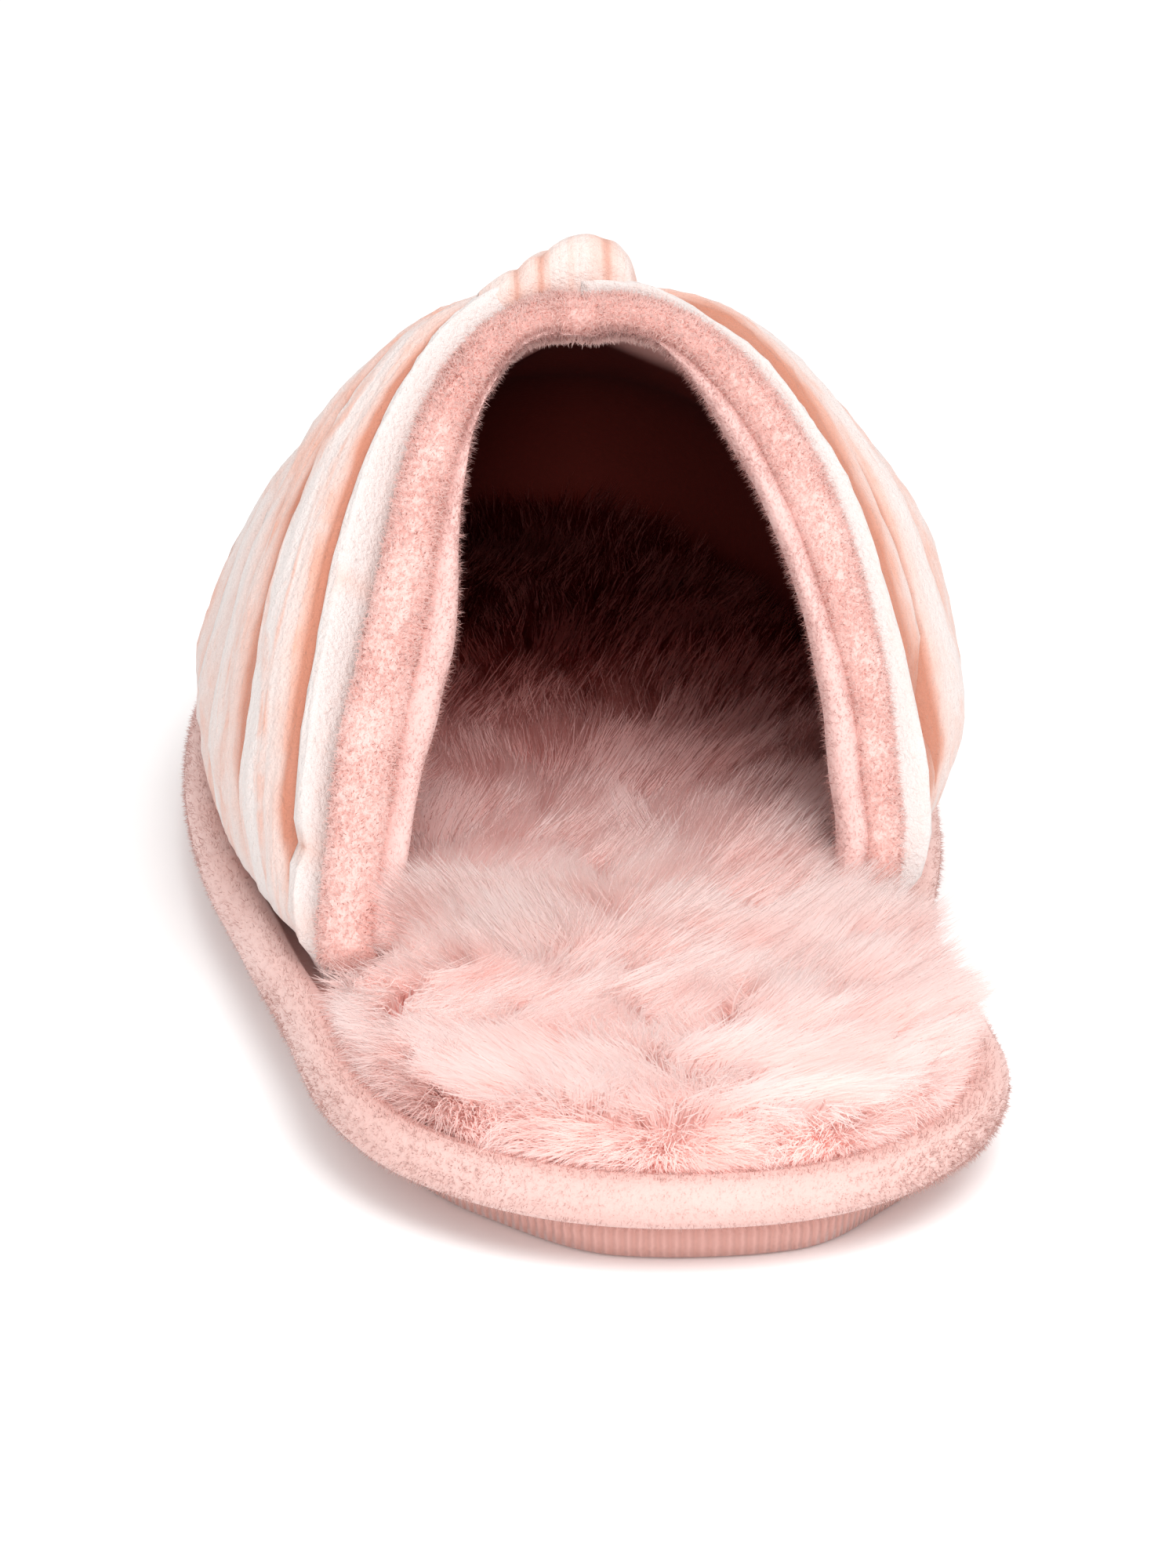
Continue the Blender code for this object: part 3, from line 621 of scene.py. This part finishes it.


# soft creases: fan, drop, half length along the drop, half width along the fan,
# depth in metres, lean along the fan
creases = (
    (0.100, 0.550, 0.200, 0.006, 0.0011, 0.0), (0.155, 0.620, 0.160, 0.006, 0.0009, 0.02),
    (0.215, 0.500, 0.220, 0.007, 0.0009, 0.0), (0.075, 0.350, 0.120, 0.004, 0.0007, 0.0),
    (0.300, 0.520, 0.180, 0.008, 0.0008, 0.0), (0.360, 0.450, 0.200, 0.008, 0.0008, 0.0),
    (0.430, 0.550, 0.200, 0.008, 0.0007, 0.0), (0.500, 0.500, 0.180, 0.007, 0.0006, 0.0),
    (0.560, 0.560, 0.200, 0.008, 0.0007, 0.0), (0.640, 0.480, 0.200, 0.008, 0.0008, 0.0),
    (0.700, 0.560, 0.180, 0.007, 0.0008, 0.0), (0.790, 0.520, 0.200, 0.007, 0.0009, 0.0),
    (0.850, 0.450, 0.200, 0.006, 0.0010, 0.0), (0.905, 0.600, 0.180, 0.006, 0.0011, 0.0),
    (0.930, 0.300, 0.120, 0.004, 0.0007, 0.0),
)
# small ones across the collar strip: fan, drop, half width along the fan, depth in metres
stripCreases = ((0.007, 0.885, 0.009, 0.0015), (0.007, 0.955, 0.009, 0.0013), (0.006, 0.650, 0.008, 0.0009),
                (0.975, 0.780, 0.012, 0.0005))
# grid columns stand closer beside the collar: share of the columns, then fan
fanColumns = ((0, 0), (0.060, 0.0125), (0.165, 0.062), (0.260, 0.120), (0.5, 0.5),
              (0.740, 0.890), (0.835, 0.948), (0.940, 0.9875), (1, 1))


def creaseDepth(fan, drop):
    depths = np.zeros(len(fan))
    for place, level, wide, depth in stripCreases:
        along = (drop - level - 0.6 * (fan - place)) / 0.008
        depths += depth * np.exp(-(along**2) - ((fan - place) / wide) ** 2)
    for place, level, long, wide, depth, lean in creases:
        aside = (fan - place - lean * (drop - level)) / wide
        depths += depth * np.exp(-(((drop - level) / long) ** 2) - aside**2)
    return depths


def velvetShape(u, v):
    fan, drop = np.interp(u, *np.array(fanColumns).T), v**0.92
    normal, across = vampNormal(fan, drop)
    height, phase, size = foldShape(fan)
    swell = foldSwell(drop)
    # the puffed strip beside the collar, tucked in under the roll, and the folds beyond it
    strip = np.clip(2 * np.minimum(fan, 1 - fan) / stripShare, 0, 1)
    folded = strip >= 1
    puff = folds["stripPuff"] + folds["medialPuff"] * (fan > 0.5) * ease((drop - 0.16) / 0.4)
    tube = puff * np.sin(np.pi * np.clip(strip * 0.8 + 0.04, 0, 1)) ** 0.7
    tube -= folds["tuckIn"] * (1 - strip / 0.34).clip(0, None) ** 2
    lift = np.where(folded, height * swell, tube * (1 - ease((drop - 0.93) / 0.07)))
    crease = creaseDepth(fan, drop)
    beyond = 2 * (1 - fan) / stripShare  # strip widths in from the medial edge
    # painted shade in the groove beyond the medial strip, and a hollow that is dented and also painted dark
    # with shade
    grooveShade = np.exp(-(((beyond - 2.2) / 1.3) ** 2)) * (beyond > 1) * ease((drop - 0.06) / 0.2)
    hollow = np.exp(-(((beyond - 2.6) / 0.9) ** 2) - ((drop - folds["hollow"]) / 0.05) ** 2)
    lift = lift - crease - folds["hollowDepth"] * hollow
    ripple = sum(depth * surfaceNoise(np.column_stack((fan * 0.9, drop * stretch)), size, seed)
                 for depth, stretch, size, seed in ((0.00022, 0.10, 0.022, 3), (0.00012, 0.18, 0.008, 4)))
    lift = lift + ripple * ease((drop - 0.02) / 0.1) * (1 - ease((drop - 0.92) / 0.08))
    # each fold's far edge hangs over the next groove
    relative = size / folds["fullHeight"]
    lip = np.exp(-(((phase - 0.88) / 0.12) ** 2)) * relative * swell * folded
    fromCollar = across * np.where(fan > 0.5, -1, 1)[:, None]
    points = vampPoint(fan, drop) + normal * lift[:, None] + fromCollar * (folds["overhang"] * lip)[:, None]
    points[:, 2] = np.maximum(points[:, 2], vampBase + toeLift(points[:, 1]) - footSink)
    # painted shade: peach just past each fold's crisp edge, broad over its near side and thin at its far
    # edge, plus the creases, the medial groove and the hollow, all in the crease mask
    shade = 0.8 * np.exp(-((phase / 0.16) ** 2)) + 0.85 * np.exp(-((phase / 0.45) ** 2))
    shade += 0.8 * np.exp(-(((1 - phase) / 0.03) ** 2))
    shade *= 1.1 * relative * folded * np.maximum(swell, 0.35 * (1 - ease((drop - 0.86) / 0.1)))
    mask = np.clip(shade + crease / 0.0011 * 0.7 + 0.60 * grooveShade + 0.9 * hollow, 0, 1)
    return points, {"crease": mask, "strip": 1 - ease((strip - 0.9) / 0.1)}


velvetVamp = clothGrid("velvetVamp", 440, 50, velvetShape, facesUp=True)
thick = velvetVamp.modifiers.new("thickness", "SOLIDIFY")
thick.thickness, thick.offset, thick.use_even_offset = folds["cloth"], -1.0, False

velvetLook = {
    # peach is the brushed stripes and also painted shade in the grooves; deep is painted shade at their core
    "bands": 0.9, "pale": (0.71, 0.65, 0.63), "peach": (0.73, 0.39, 0.30), "deep": (0.50, 0.19, 0.12),
    "stretch": (40.0, 3.4, 1.0), "grain": 1300.0, "mottle": 130.0,
}


def velvetMaterial(name, look):
    material, tree, shader = newMaterial(name, roughness=0.8, sheen=0.15, sheenRoughness=0.35, specular=0.25)
    cloth = addNode(tree, "ShaderNodeUVMap", uv_map="cloth")
    stretch = addNode(tree, "ShaderNodeMapping", Vector=cloth.outputs[0], Scale=look["stretch"])
    brushed = addNode(tree, "ShaderNodeTexNoise", Vector=stretch.outputs[0], Scale=1.0, Detail=5.0,
                      Roughness=0.62, Distortion=0.6).outputs["Fac"]
    fine, slow = napOf(tree, look["grain"], look["mottle"])
    # peach stripes where the pile is brushed over, in patches, and hardly any on the collar strip
    bands = spread(tree, brushed, 0.46, 0.60, most=look["bands"])
    stripes = calculate(tree, "MULTIPLY", bands, spread(tree, slow, least=0.15, most=1.15))
    plainer = calculate(tree, "MULTIPLY_ADD", maskOf(tree, "strip"), -0.85, 1.0)
    calmed = calculate(tree, "MULTIPLY", stripes, plainer)
    colour = mixColour(tree, calmed, look["pale"], look["peach"])
    colour = mixColour(tree, spread(tree, fine, 0.56, 0.68, most=0.16), colour, look["peach"])
    # painted shade in the grooves and creases: peach with a broken edge, and deep at their core
    mask = maskOf(tree, "crease")
    edge = calculate(tree, "MULTIPLY", mask, spread(tree, slow, least=0.65, most=1.1), clamp=True)
    colour = mixColour(tree, edge, colour, look["peach"])
    colour = mixColour(tree, spread(tree, mask, 0.62, 1.0, most=0.9), colour, look["deep"])
    finish(tree, shader, colour, calculate(tree, "MULTIPLY_ADD", brushed, 0.6, fine), 0.7, 0.0008)
    return material


dress(velvetVamp, velvetMaterial("crushedVelvet", velvetLook), "velvet", "vamp")
print("slipper: vamp made")


# Lining: brushed fleece inside the vamp
liningLook = {
    "pale": (0.96, 0.62, 0.57), "deep": (0.88, 0.48, 0.43), "inside": (0.13, 0.015, 0.010),
    # painted shade: metres in from the opening that stay rose, more of them above roseFrom, and then the fade
    # to near black further in
    "rose": 0.014, "roseTop": 0.034, "roseFrom": 0.042, "fade": 0.030,
    "cut": (0.150, 0.170), "area": 0.0220,
}


def liningShape(u, v):
    fan = 0.004 + 0.992 * u
    normal, _ = vampNormal(fan, v)
    points = vampPoint(fan, v) - normal * (vamp["wall"] - 0.0004)
    points += normal * (0.0003 * surfaceNoise(points, 0.03, 8))[:, None]
    points[:, 2] = np.maximum(points[:, 2], vampBase + toeLift(points[:, 1]) - footSink)
    # painted shade: the lining darkens the further it reaches in from the opening's edge
    edge = vampPoint(np.zeros(60), np.linspace(1, 0, 60))
    inward = points[:, 1] - np.interp(points[:, 2], edge[:, 2], edge[:, 1])
    high = ease((points[:, 2] - liningLook["roseFrom"]) / 0.018)
    lit = liningLook["rose"] + liningLook["roseTop"] * high
    return points, {"crease": ease((inward - lit) / liningLook["fade"])}


fleeceLining = clothGrid("fleeceLining", 150, 44, liningShape)
liningMaterial = napMaterial("fleeceLining", liningLook, grain=900.0, mottle=60.0, bump=0.0004,
                             crease=liningLook["inside"], sheen=0.0)
dress(fleeceLining, liningMaterial, "velvet")
print("slipper: lining made")


# Collar: looped plush roll outside, smooth lining lip inside
collar = {
    "steps": 300, "width": 0.0090, "depth": 0.0066, "gap": 0.0003, "terryDepth": 0.0029, "pile": 0.0003,
    "lipDepth": 0.0034, "lipBack": -0.0004, "lipTuck": 0.0012, "roundTop": 0.16,
    # share of the way round the opening from the lateral foot, then millimetres out from the vamp's face:
    # the plush roll's outer edge, the seam between roll and lip, and the lip's inner edge
    "rows": ((0.00, 0.3, -6.6, -8.6), (0.05, 0.4, -6.9, -9.2), (0.09, 0.8, -7.7, -10.2),
             (0.13, -0.2, -8.4, -12.4), (0.17, -1.1, -9.1, -13.0), (0.21, -1.0, -8.1, -10.4),
             (0.25, -0.6, -7.1, -7.9), (0.29, -0.4, -6.5, -6.3), (0.33, -0.6, -6.4, -5.9),
             (0.41, -1.1, -6.3, -5.8), (0.49, -0.6, -6.6, -6.0), (0.57, 0.3, -5.2, -4.6),
             (0.61, 0.7, -4.7, -4.2), (0.65, 0.9, -4.6, -5.2), (0.69, 0.9, -4.9, -6.4),
             (0.73, 0.9, -5.2, -7.3), (0.77, 0.9, -5.6, -7.4), (0.81, 0.7, -5.7, -7.7),
             (0.85, 0.3, -5.7, -7.8), (0.89, -0.1, -5.5, -8.3), (0.93, -1.0, -6.2, -9.1),
             (1.00, -1.2, -6.3, -9.2)),
}


def smoothAlong(values, reach=7):  # averages each row with its neighbours
    kernel = np.hanning(2 * reach + 1) / np.hanning(2 * reach + 1).sum()
    columns = [np.pad(values[:, k], reach, mode="edge") for k in range(3)]
    return np.column_stack([np.convolve(column, kernel, mode="valid") for column in columns])


def collarFrames():  # the opening's edge, with the ways across the roll and towards the toe
    s = np.linspace(0, 1, collar["steps"] + 1)
    drop = np.abs(1 - 2 * s)
    point = vampPoint(np.where(s < 0.5, 0.0, 1.0), drop)
    along = unit(np.gradient(point, axis=0))
    toeward = vampPoint(np.where(s < 0.5, 0.004, 0.996), drop) - point
    toeward = unit(toeward - along * (toeward * along).sum(1, keepdims=True))
    across = unit(smoothAlong(unit(np.cross(toeward, along))))
    toeward = unit(smoothAlong(toeward))
    if across[len(s) // 2, 2] < 0:
        across = -across
    nearTop = ease((collar["roundTop"] - np.abs(s - 0.5)) / 0.06)
    point = point + (smoothAlong(point) - point) * nearTop[:, None]
    return s, point, across, toeward


frameS, framePoint, frameAcross, frameToe = collarFrames()


def atFrame(values, s):
    return np.column_stack([np.interp(s, frameS, values[:, k]) for k in range(3)])


def rollPoint(s, angle, lip=False):  # a spot on the plush roll or on the lining's lip beside it
    point, across, toeward = atFrame(framePoint, s), unit(atFrame(frameAcross, s)), unit(atFrame(frameToe, s))
    outer, seam, inner = (curveThrough(collar["rows"], k, s) / 1000 for k in (1, 2, 3))
    far, near = outer - collar["pile"], seam + collar["pile"]
    back, depth = collar["depth"] / 2 + collar["gap"], collar["terryDepth"]
    if lip:
        far, near = seam + collar["lipTuck"], inner
        back, depth = back - collar["lipBack"], collar["lipDepth"]
    footward = np.clip((np.abs(1 - 2 * s) - 0.985) / 0.015, 0, 1)
    end = np.sqrt(np.clip(1 - footward**2, 0, 1))  # closes the roll at its feet
    wide, deep = (far - near) / 2 * end, depth * end
    middle = point + across * ((far + near) / 2)[:, None] - toeward * back
    spot = middle + across * (wide * np.cos(angle))[:, None] + toeward * (deep * np.sin(angle))[:, None]
    outwards = across * (np.cos(angle) / wide.clip(1e-4))[:, None]
    normal = unit(outwards + toeward * (np.sin(angle) / deep.clip(1e-4))[:, None])
    spot[:, 2] = np.maximum(spot[:, 2], vampBase)
    return spot, normal


def rollShape(lip, lumps):
    def shape(u, v):
        spot, normal = rollPoint(v, 2 * np.pi * u, lip)
        return spot + normal * (lumps * surfaceNoise(spot, 0.012, 6))[:, None], {}
    return shape


terryLook = {
    "root": (0.77, 0.51, 0.47), "middle": (0.81, 0.57, 0.53), "tip": (0.84, 0.63, 0.59),
    "streak": (0.79, 0.53, 0.49), "through": (0.85, 0.70, 0.66),
    "count": 44000, "length": 0.00125, "width": 0.00017, "lumps": 0.00015,
}
lipLook = {
    "pale": (0.77, 0.53, 0.495), "deep": (0.69, 0.41, 0.375), "tip": (0.86, 0.58, 0.54),
    "count": 20000, "length": 0.0009, "width": 0.0001, "lumps": 0.00010,
}
terryRoll = clothGrid("terryRoll", 22, 240, rollShape(False, terryLook["lumps"]))
liningLip = clothGrid("liningLip", 18, 240, rollShape(True, lipLook["lumps"]))
terryBase = napMaterial("terryGround", groundTones(terryLook), 1100.0, 120.0, bump=0.0006, strength=0.8)
lipBase = napMaterial("lipFleece", lipLook, 1600.0, 80.0)
dress(terryRoll, terryBase, "collar_plush", "collar_roll")
dress(liningLip, lipBase, "collar_plush", "collar_roll")

chance = np.random.default_rng(31)
count = terryLook["count"]
s = chance.uniform(0.005, 0.995, count)
angle = chance.uniform(-np.pi * 1.05, np.pi * 0.08, count)
roots, normals = rollPoint(s, angle)
tangle = chance.normal(size=(count, 3))
lookUp = unit(normals + np.array((0, -0.7, 0.7)))  # lit as if it faced up and to the heel
curled = unit(0.25 * normals + tangle + np.array((0, -0.3, -0.2)))
lengths = terryLook["length"] * chance.uniform(0.7, 1.25, count)
terryPile = fibres("terryPile", roots - normals * rootDepth, lookUp, unit(normals + 0.55 * tangle), curled,
                   lengths, np.full(count, terryLook["width"]), chance)
terryMaterial = pileMaterial("terryPile", terryLook, 700.0, 0.15, through=terryLook["through"])
dress(terryPile, terryMaterial, "collar_plush")

count = lipLook["count"]
s = chance.uniform(0.01, 0.99, count)
angle = chance.uniform(-np.pi * 1.05, -np.pi * 0.2, count)
roots, normals = rollPoint(s, angle, lip=True)
ways = unit(normals + 0.7 * chance.normal(size=(count, 3)))
lengths = lipLook["length"] * chance.uniform(0.5, 1.6, count)
lipFuzz = fibres("lipFuzz", roots - normals * rootDepth, normals, ways, ways,
                 lengths, np.full(count, lipLook["width"]), chance, pointed=True)
dress(lipFuzz, pileMaterial("lipPile", fuzzTones(lipLook), 500.0, 0.3), "collar_plush")
print("slipper: collar made")


# Gather band: soft velvet band over the ridge, in long folds of its own
band = {
    "width": 0.0198, "thickness": 0.0060, "length": 0.0450, "drape": 0.0030, "lean": -0.0010,
    "backStart": -0.0006, "backRound": 0.0014, "backSet": -0.0010, "gap": 0.0003,
    # place across the band, half width of the trough as shares of the half width, and its depth
    "folds": ((-0.42, 0.09, 0.0006), (-0.14, 0.10, 0.0008), (0.62, 0.14, 0.0004)),
    "crown": ((-1.0, 0.0), (-0.85, 0.14), (-0.5, 0.42), (-0.1, 0.76), (0.3, 0.98), (0.5, 1.0),
              (0.78, 0.80), (0.93, 0.44), (1.0, 0.0)),
}


def bandShape(u, v):
    across = 2 * np.abs(2 * u - 1) - 1  # out along the top, back along the underside
    top = u < 0.5
    rise = np.clip(v / 0.09, 0, 1)  # the first rows climb the back face
    along = np.clip((v - 0.05) / 0.95, 0, 1)
    end = endRounding(1 - along, 0.30, 2.2)
    y = vamp["throat"] + band["backStart"] + band["length"] * along
    share = np.clip((y - vamp["throat"]) / vamp["bandLength"], 0, 1)
    middle = (featherAt(y, False) + featherAt(y, True)) / 2 + vamp["sway"] * share + band["lean"]
    offset = band["width"] / 2 * (0.35 + 0.65 * end) * across
    # the band's underside follows the vamp's face at the same spot
    fan = vamp["bandSpread"] / 2 * np.arcsin(np.clip(share, 0, 0.999)) / (np.pi / 2)
    fan = np.where(across < 0, fan, 1 - fan)
    reach = (featherAt(y, True) - featherAt(y, False)) / 2
    ground = vampPoint(fan, np.arcsin(np.clip(np.abs(offset) / reach, 0, 1)) / (np.pi / 2))[:, 2]
    crown = np.maximum(curveThrough(band["crown"], 1, across), 0)
    crown = crown * band["thickness"] * (0.25 + 0.75 * end)
    mask = np.zeros(len(u))
    for place, wide, depth in band["folds"]:
        trough = np.exp(-(((across - place - 0.10 * np.sin(2.5 * along + place * 5)) / wide) ** 2))
        crown = crown - trough * depth * (0.4 + 0.6 * end)
        mask += trough
    front = 1 - np.clip((1 - along) / 0.05, 0, 1)
    lift = np.sin(np.pi / 2 * rise) * np.sqrt(np.clip(1 - front**2, 0, 1))
    z = ground + band["gap"] + np.where(top, np.maximum(crown, 0) * lift, 0) - band["drape"] * (1 - rise)
    y = y + np.where(top, band["backRound"] * (1 - np.cos(np.pi / 2 * rise)) + band["backSet"],
                     band["backSet"] * (1 - rise))
    # painted shade: peach along the band's fold troughs and down its two sides
    mask = (mask * 0.8 + np.clip(np.abs(across) - 0.90, 0, 1) * 8) * top
    return np.column_stack((middle + offset, y, z)), {"crease": np.clip(mask, 0, 1)}


gatherBand = clothGrid("gatherBand", 120, 60, bandShape)
bandVelvet = velvetMaterial("bandVelvet", dict(velvetLook, bands=0.45, pale=(0.75, 0.63, 0.59)))
dress(gatherBand, bandVelvet, "velvet_band", "gather_band")
print("slipper: band made")


# Fur footbed: backing pad and combed pile
fur = {
    "backing": 0.0030, "edgeEase": 0.0010, "collarGap": 0.0009, "wallGap": 0.0020, "blend": 0.0080,
    "length": 0.0118, "width": 0.00019, "tuft": 0.0050, "pull": 0.42, "lean": 46,
    "backCount": 63000, "frontCount": 30000, "heelEnd": 0.062, "archStart": 0.060,
    "archEnd": 0.128, "toeStart": 0.125,
    "edgeCount": 16000, "edgeLength": 0.0075,
    "root": (0.96, 0.62, 0.58), "middle": (0.985, 0.785, 0.75), "tip": (0.985, 0.86, 0.835),
    "streak": (0.95, 0.69, 0.65), "through": (1.0, 0.94, 0.93),
    # painted shade: the pile darkens to this deep rose between shadeFrom and shadeTo, on its way into the
    # vamp
    "inside": (0.56, 0.12, 0.10), "shadeFrom": -0.060, "shadeTo": 0.036,
    # backing's section: share of the way round it, inset, way to the spine, share of its height
    "section": ((0.0, 0.0, 1.0, 0.1), (0.35, 0.0, 0.0, 0.1), (0.42, 0.0, 0.0, 0.7),
                (0.52, 0.002, 0.0, 1.0), (0.62, 0.006, 0.0, 1.15), (1.0, 0.006, 1.0, 1.2)),
}


def padEdge(turn):  # inset of the fur's backing, in past the collar's feet and then inside the vamp
    y = outlinePoint(turn)[:, 1]
    foot = np.where(np.asarray(turn) % 1 < 0.5, vamp["footLateral"], vamp["footMedial"])
    past = (collar["width"] + vamp["wall"]) / 2 + fur["collarGap"]
    enter = ease((y - foot + collar["depth"] + 0.0015 + fur["blend"]) / fur["blend"])
    leave = ease((y - foot - collar["depth"]) / fur["blend"])
    return vampInset + past * enter + (vamp["wall"] + fur["wallGap"] - past) * leave


def padBody(u, v):
    rows = np.array(fur["section"])
    extra, inward, level = (np.interp(v, rows[:, 0], rows[:, k]) for k in (1, 2, 3))
    rim = rimPoint(u, padEdge(u) + extra)
    flat = rim + (spinePoint(rim[:, 1]) - rim) * inward[:, None]
    height = vampBase - 0.0003 + level * fur["backing"]
    return np.column_stack((flat, height + toeLift(flat[:, 1]))), {}


furBacking = clothGrid("furBacking", 240, 40, padBody)
backingMaterial = napMaterial("furBacking", groundTones(fur), 1200.0, 150.0, bump=0.0004)
dress(furBacking, backingMaterial, "fur", "fur_insole")

edgeTurns = np.linspace(0, 1, 1441)
edgeLine = rimPoint(edgeTurns, padEdge(edgeTurns) + fur["edgeEase"])


def padSides(y):
    left, right = edgeLine[:721], edgeLine[720:][::-1]
    return np.interp(y, left[:, 1], left[:, 0]), np.interp(y, right[:, 1], right[:, 0])


def furRoots(count, low, high, chance):  # random spots on the pad between two lines across it
    spots = np.empty((0, 2))
    half = plan["ballWidth"] / 2 + 0.001
    while len(spots) < count:
        x, y = chance.uniform(-half, half, count * 2), chance.uniform(low, high, count * 2)
        tries = np.column_stack((x, y))
        left, right = padSides(y)
        spots = np.concatenate((spots, tries[(tries[:, 0] > left) & (tries[:, 0] < right)]))
    return spots[:count]


def furField(name, count, low, high, widthScale, seed):
    chance = np.random.default_rng(seed)
    spots = furRoots(count, low, high, chance)
    left, right = padSides(spots[:, 1])
    side = (2 * spots[:, 0] - left - right) / (right - left)
    heel = 1 - ease((spots[:, 1] - 0.010) / 0.060)
    edge = np.abs(side) ** 3
    # combed outwards at the sides and back at the heel, with slow swirls, and turned a little in each tuft
    wander, swirl = surfaceNoise(spots, 0.040, 12), surfaceNoise(spots, 0.032, 13)
    sideways = 0.35 + 1.3 * side * (0.35 + 0.65 * heel + 0.6 * edge) + 0.75 * wander
    comb = unit(np.column_stack((sideways, -0.55 - 0.5 * heel + 0.75 * swirl)))
    tuft, number = toClump(spots, fur["tuft"], 1.7)
    cosine, sine = np.cos((number - 0.5) * 1.5), np.sin((number - 0.5) * 1.5)
    comb = np.column_stack((comb[:, 0] * cosine - comb[:, 1] * sine, comb[:, 0] * sine + comb[:, 1] * cosine))
    flatter = 12 * wander + 14 * heel + 10 * edge - 14 * ease((spots[:, 1] - 0.07) / 0.05)
    lean = np.radians(fur["lean"] + flatter)
    length = fur["length"] * chance.uniform(0.72, 1.12, count) * (0.86 + 0.28 * number)
    length *= 1 - 0.30 * ease((spots[:, 1] - 0.13) / 0.08)
    length *= 1 - 0.35 * np.clip((np.abs(side) - 0.86) / 0.14, 0, 1)
    ways = np.column_stack((comb * np.sin(lean)[:, None], np.cos(lean)))
    pulled = ways * length[:, None] + np.column_stack((tuft * fur["pull"], np.zeros(count)))
    last = unit(pulled + 0.0016 * chance.normal(size=(count, 3)))
    first = unit(ways + np.array((0, 0, 0.9)) + 0.12 * chance.normal(size=(count, 3)))
    roots = np.column_stack((spots, vampBase + fur["backing"] + toeLift(spots[:, 1])))
    domed = np.column_stack((0.3 * side * np.abs(side) ** 2, -0.7 * heel**2, np.ones(count)))
    widths = fur["width"] * widthScale * chance.uniform(0.7, 1.25, count)
    return fibres(name, roots, unit(domed + 0.55 * ways), first, last, length, widths, chance)


heelY, toeY = edgeLine[:, 1].min() + 0.0004, edgeLine[:, 1].max() - 0.0005
pileHeel = furField("pileHeel", fur["backCount"], heelY, fur["heelEnd"], 1.0, 41)
pileArch = furField("pileArch", fur["backCount"], fur["archStart"], fur["archEnd"], 1.05, 42)
pileToe = furField("pileToe", fur["frontCount"], fur["toeStart"], toeY, 1.5, 43)

# shorter hair that hangs out over the wrap round the heel and thins out beside the vamp
chance = np.random.default_rng(44)
count = fur["edgeCount"]
heelward = chance.random(count) ** 1.3
turns = np.where(chance.random(count) < 0.5, 0.235 * heelward, 1 - 0.25 * heelward)
level = chance.random(count)
rim = rimPoint(turns, padEdge(turns) + 0.0012 * level)
outward = -unit(rimPoint(turns, padEdge(turns) + 0.001) - rimPoint(turns, padEdge(turns)))
roots = np.column_stack((rim, vampBase + fur["backing"] * (0.15 + 0.9 * level)))
normals = np.column_stack((outward, 1.2 + 0.6 * level))
aside = np.column_stack((-outward[:, 1], outward[:, 0])) * (0.55 * surfaceNoise(roots, 0.016, 17))[:, None]
first = np.column_stack((outward * 0.8 + aside, 0.35 + 0.9 * level)) + 0.16 * chance.normal(size=(count, 3))
fall = -0.25 + 0.75 * level + 0.2 * surfaceNoise(roots, 0.012, 18)
last = np.column_stack((outward * 0.75 + aside * 1.4, fall)) + 0.2 * chance.normal(size=(count, 3))
lengths = fur["edgeLength"] * chance.uniform(0.6, 1.15, count) * (0.6 + 0.4 * level)
widths = fur["width"] * chance.uniform(0.7, 1.2, count)
pileEdge = fibres("pileEdge", roots, normals, first, last, lengths, widths, chance)
furMaterial = pileMaterial("longPile", fur, 95.0, 0.6, through=fur["through"])
for piece in (pileHeel, pileArch, pileToe, pileEdge):
    dress(piece, furMaterial, "fur")
print("slipper: fur made")


# Floor, light and camera
studio = {
    "floor": (0.95, 0.95, 0.95), "floorSize": 6.0, "world": 0.98, "aim": (0, 0, 0.03),
    "key": {"place": (0.30, -0.62, 1.05), "size": 0.9, "power": 8.6},
    "fill": {"place": (-0.10, -0.85, 0.10), "size": 0.16, "power": 1.9},
}
grid = bmesh.new()
bmesh.ops.create_grid(grid, x_segments=1, y_segments=1, size=studio["floorSize"])
floorData = bpy.data.meshes.new("studioFloor")
grid.to_mesh(floorData)
grid.free()
floor = putInScene("studioFloor", floorData)
floorMaterial, tree, shader = newMaterial("studioFloor", roughness=1.0, specular=0.0)
plug(tree, shader.inputs["Base Color"], studio["floor"])
floor.data.materials.append(floorMaterial)

bpy.context.scene.view_settings.view_transform = "Standard"
world = bpy.data.worlds.new("studioWorld")
bpy.context.scene.world = world
world.use_nodes = True
background = world.node_tree.nodes["Background"]
plug(world.node_tree, background.inputs["Color"], (1.0, 1.0, 1.0))
plug(world.node_tree, background.inputs["Strength"], studio["world"])

for name in ("key", "fill"):
    lamp = studio[name]
    light = bpy.data.lights.new(name + "Light", "AREA")
    light.shape, light.size, light.energy = "DISK", lamp["size"], lamp["power"]
    holder = putInScene(name + "Light", light)
    holder.location = lamp["place"]
    towards = Vector(studio["aim"]) - Vector(lamp["place"])
    holder.rotation_euler = towards.to_track_quat("-Z", "Y").to_euler()

# the photograph's angle: degrees, metres and pixels, the aim measured from the heel's back
view = {"elevation": 18.0, "azimuth": -5.0, "distance": 0.577, "focal": 6000.0, "photoHeight": 2000.0,
        "sensor": 36.0, "aim": (0.0, 0.104, 0.020)}
aim = Vector((view["aim"][0], view["aim"][1] + origin[1], view["aim"][2]))
tilt, swing = math.radians(view["elevation"]), math.radians(view["azimuth"])
back = Vector((math.sin(swing) * math.cos(tilt), -math.cos(swing) * math.cos(tilt), math.sin(tilt)))
cameraData = bpy.data.cameras.new("photoCamera")
cameraData.sensor_fit = "VERTICAL"
cameraData.sensor_height = view["sensor"]
cameraData.lens = view["focal"] / view["photoHeight"] * view["sensor"]
camera = putInScene("photoCamera", cameraData)
camera.location = aim + back * view["distance"]
camera.rotation_euler = (-back).to_track_quat("-Z", "Y").to_euler()
bpy.context.scene.camera = camera

bpy.context.view_layer.update()
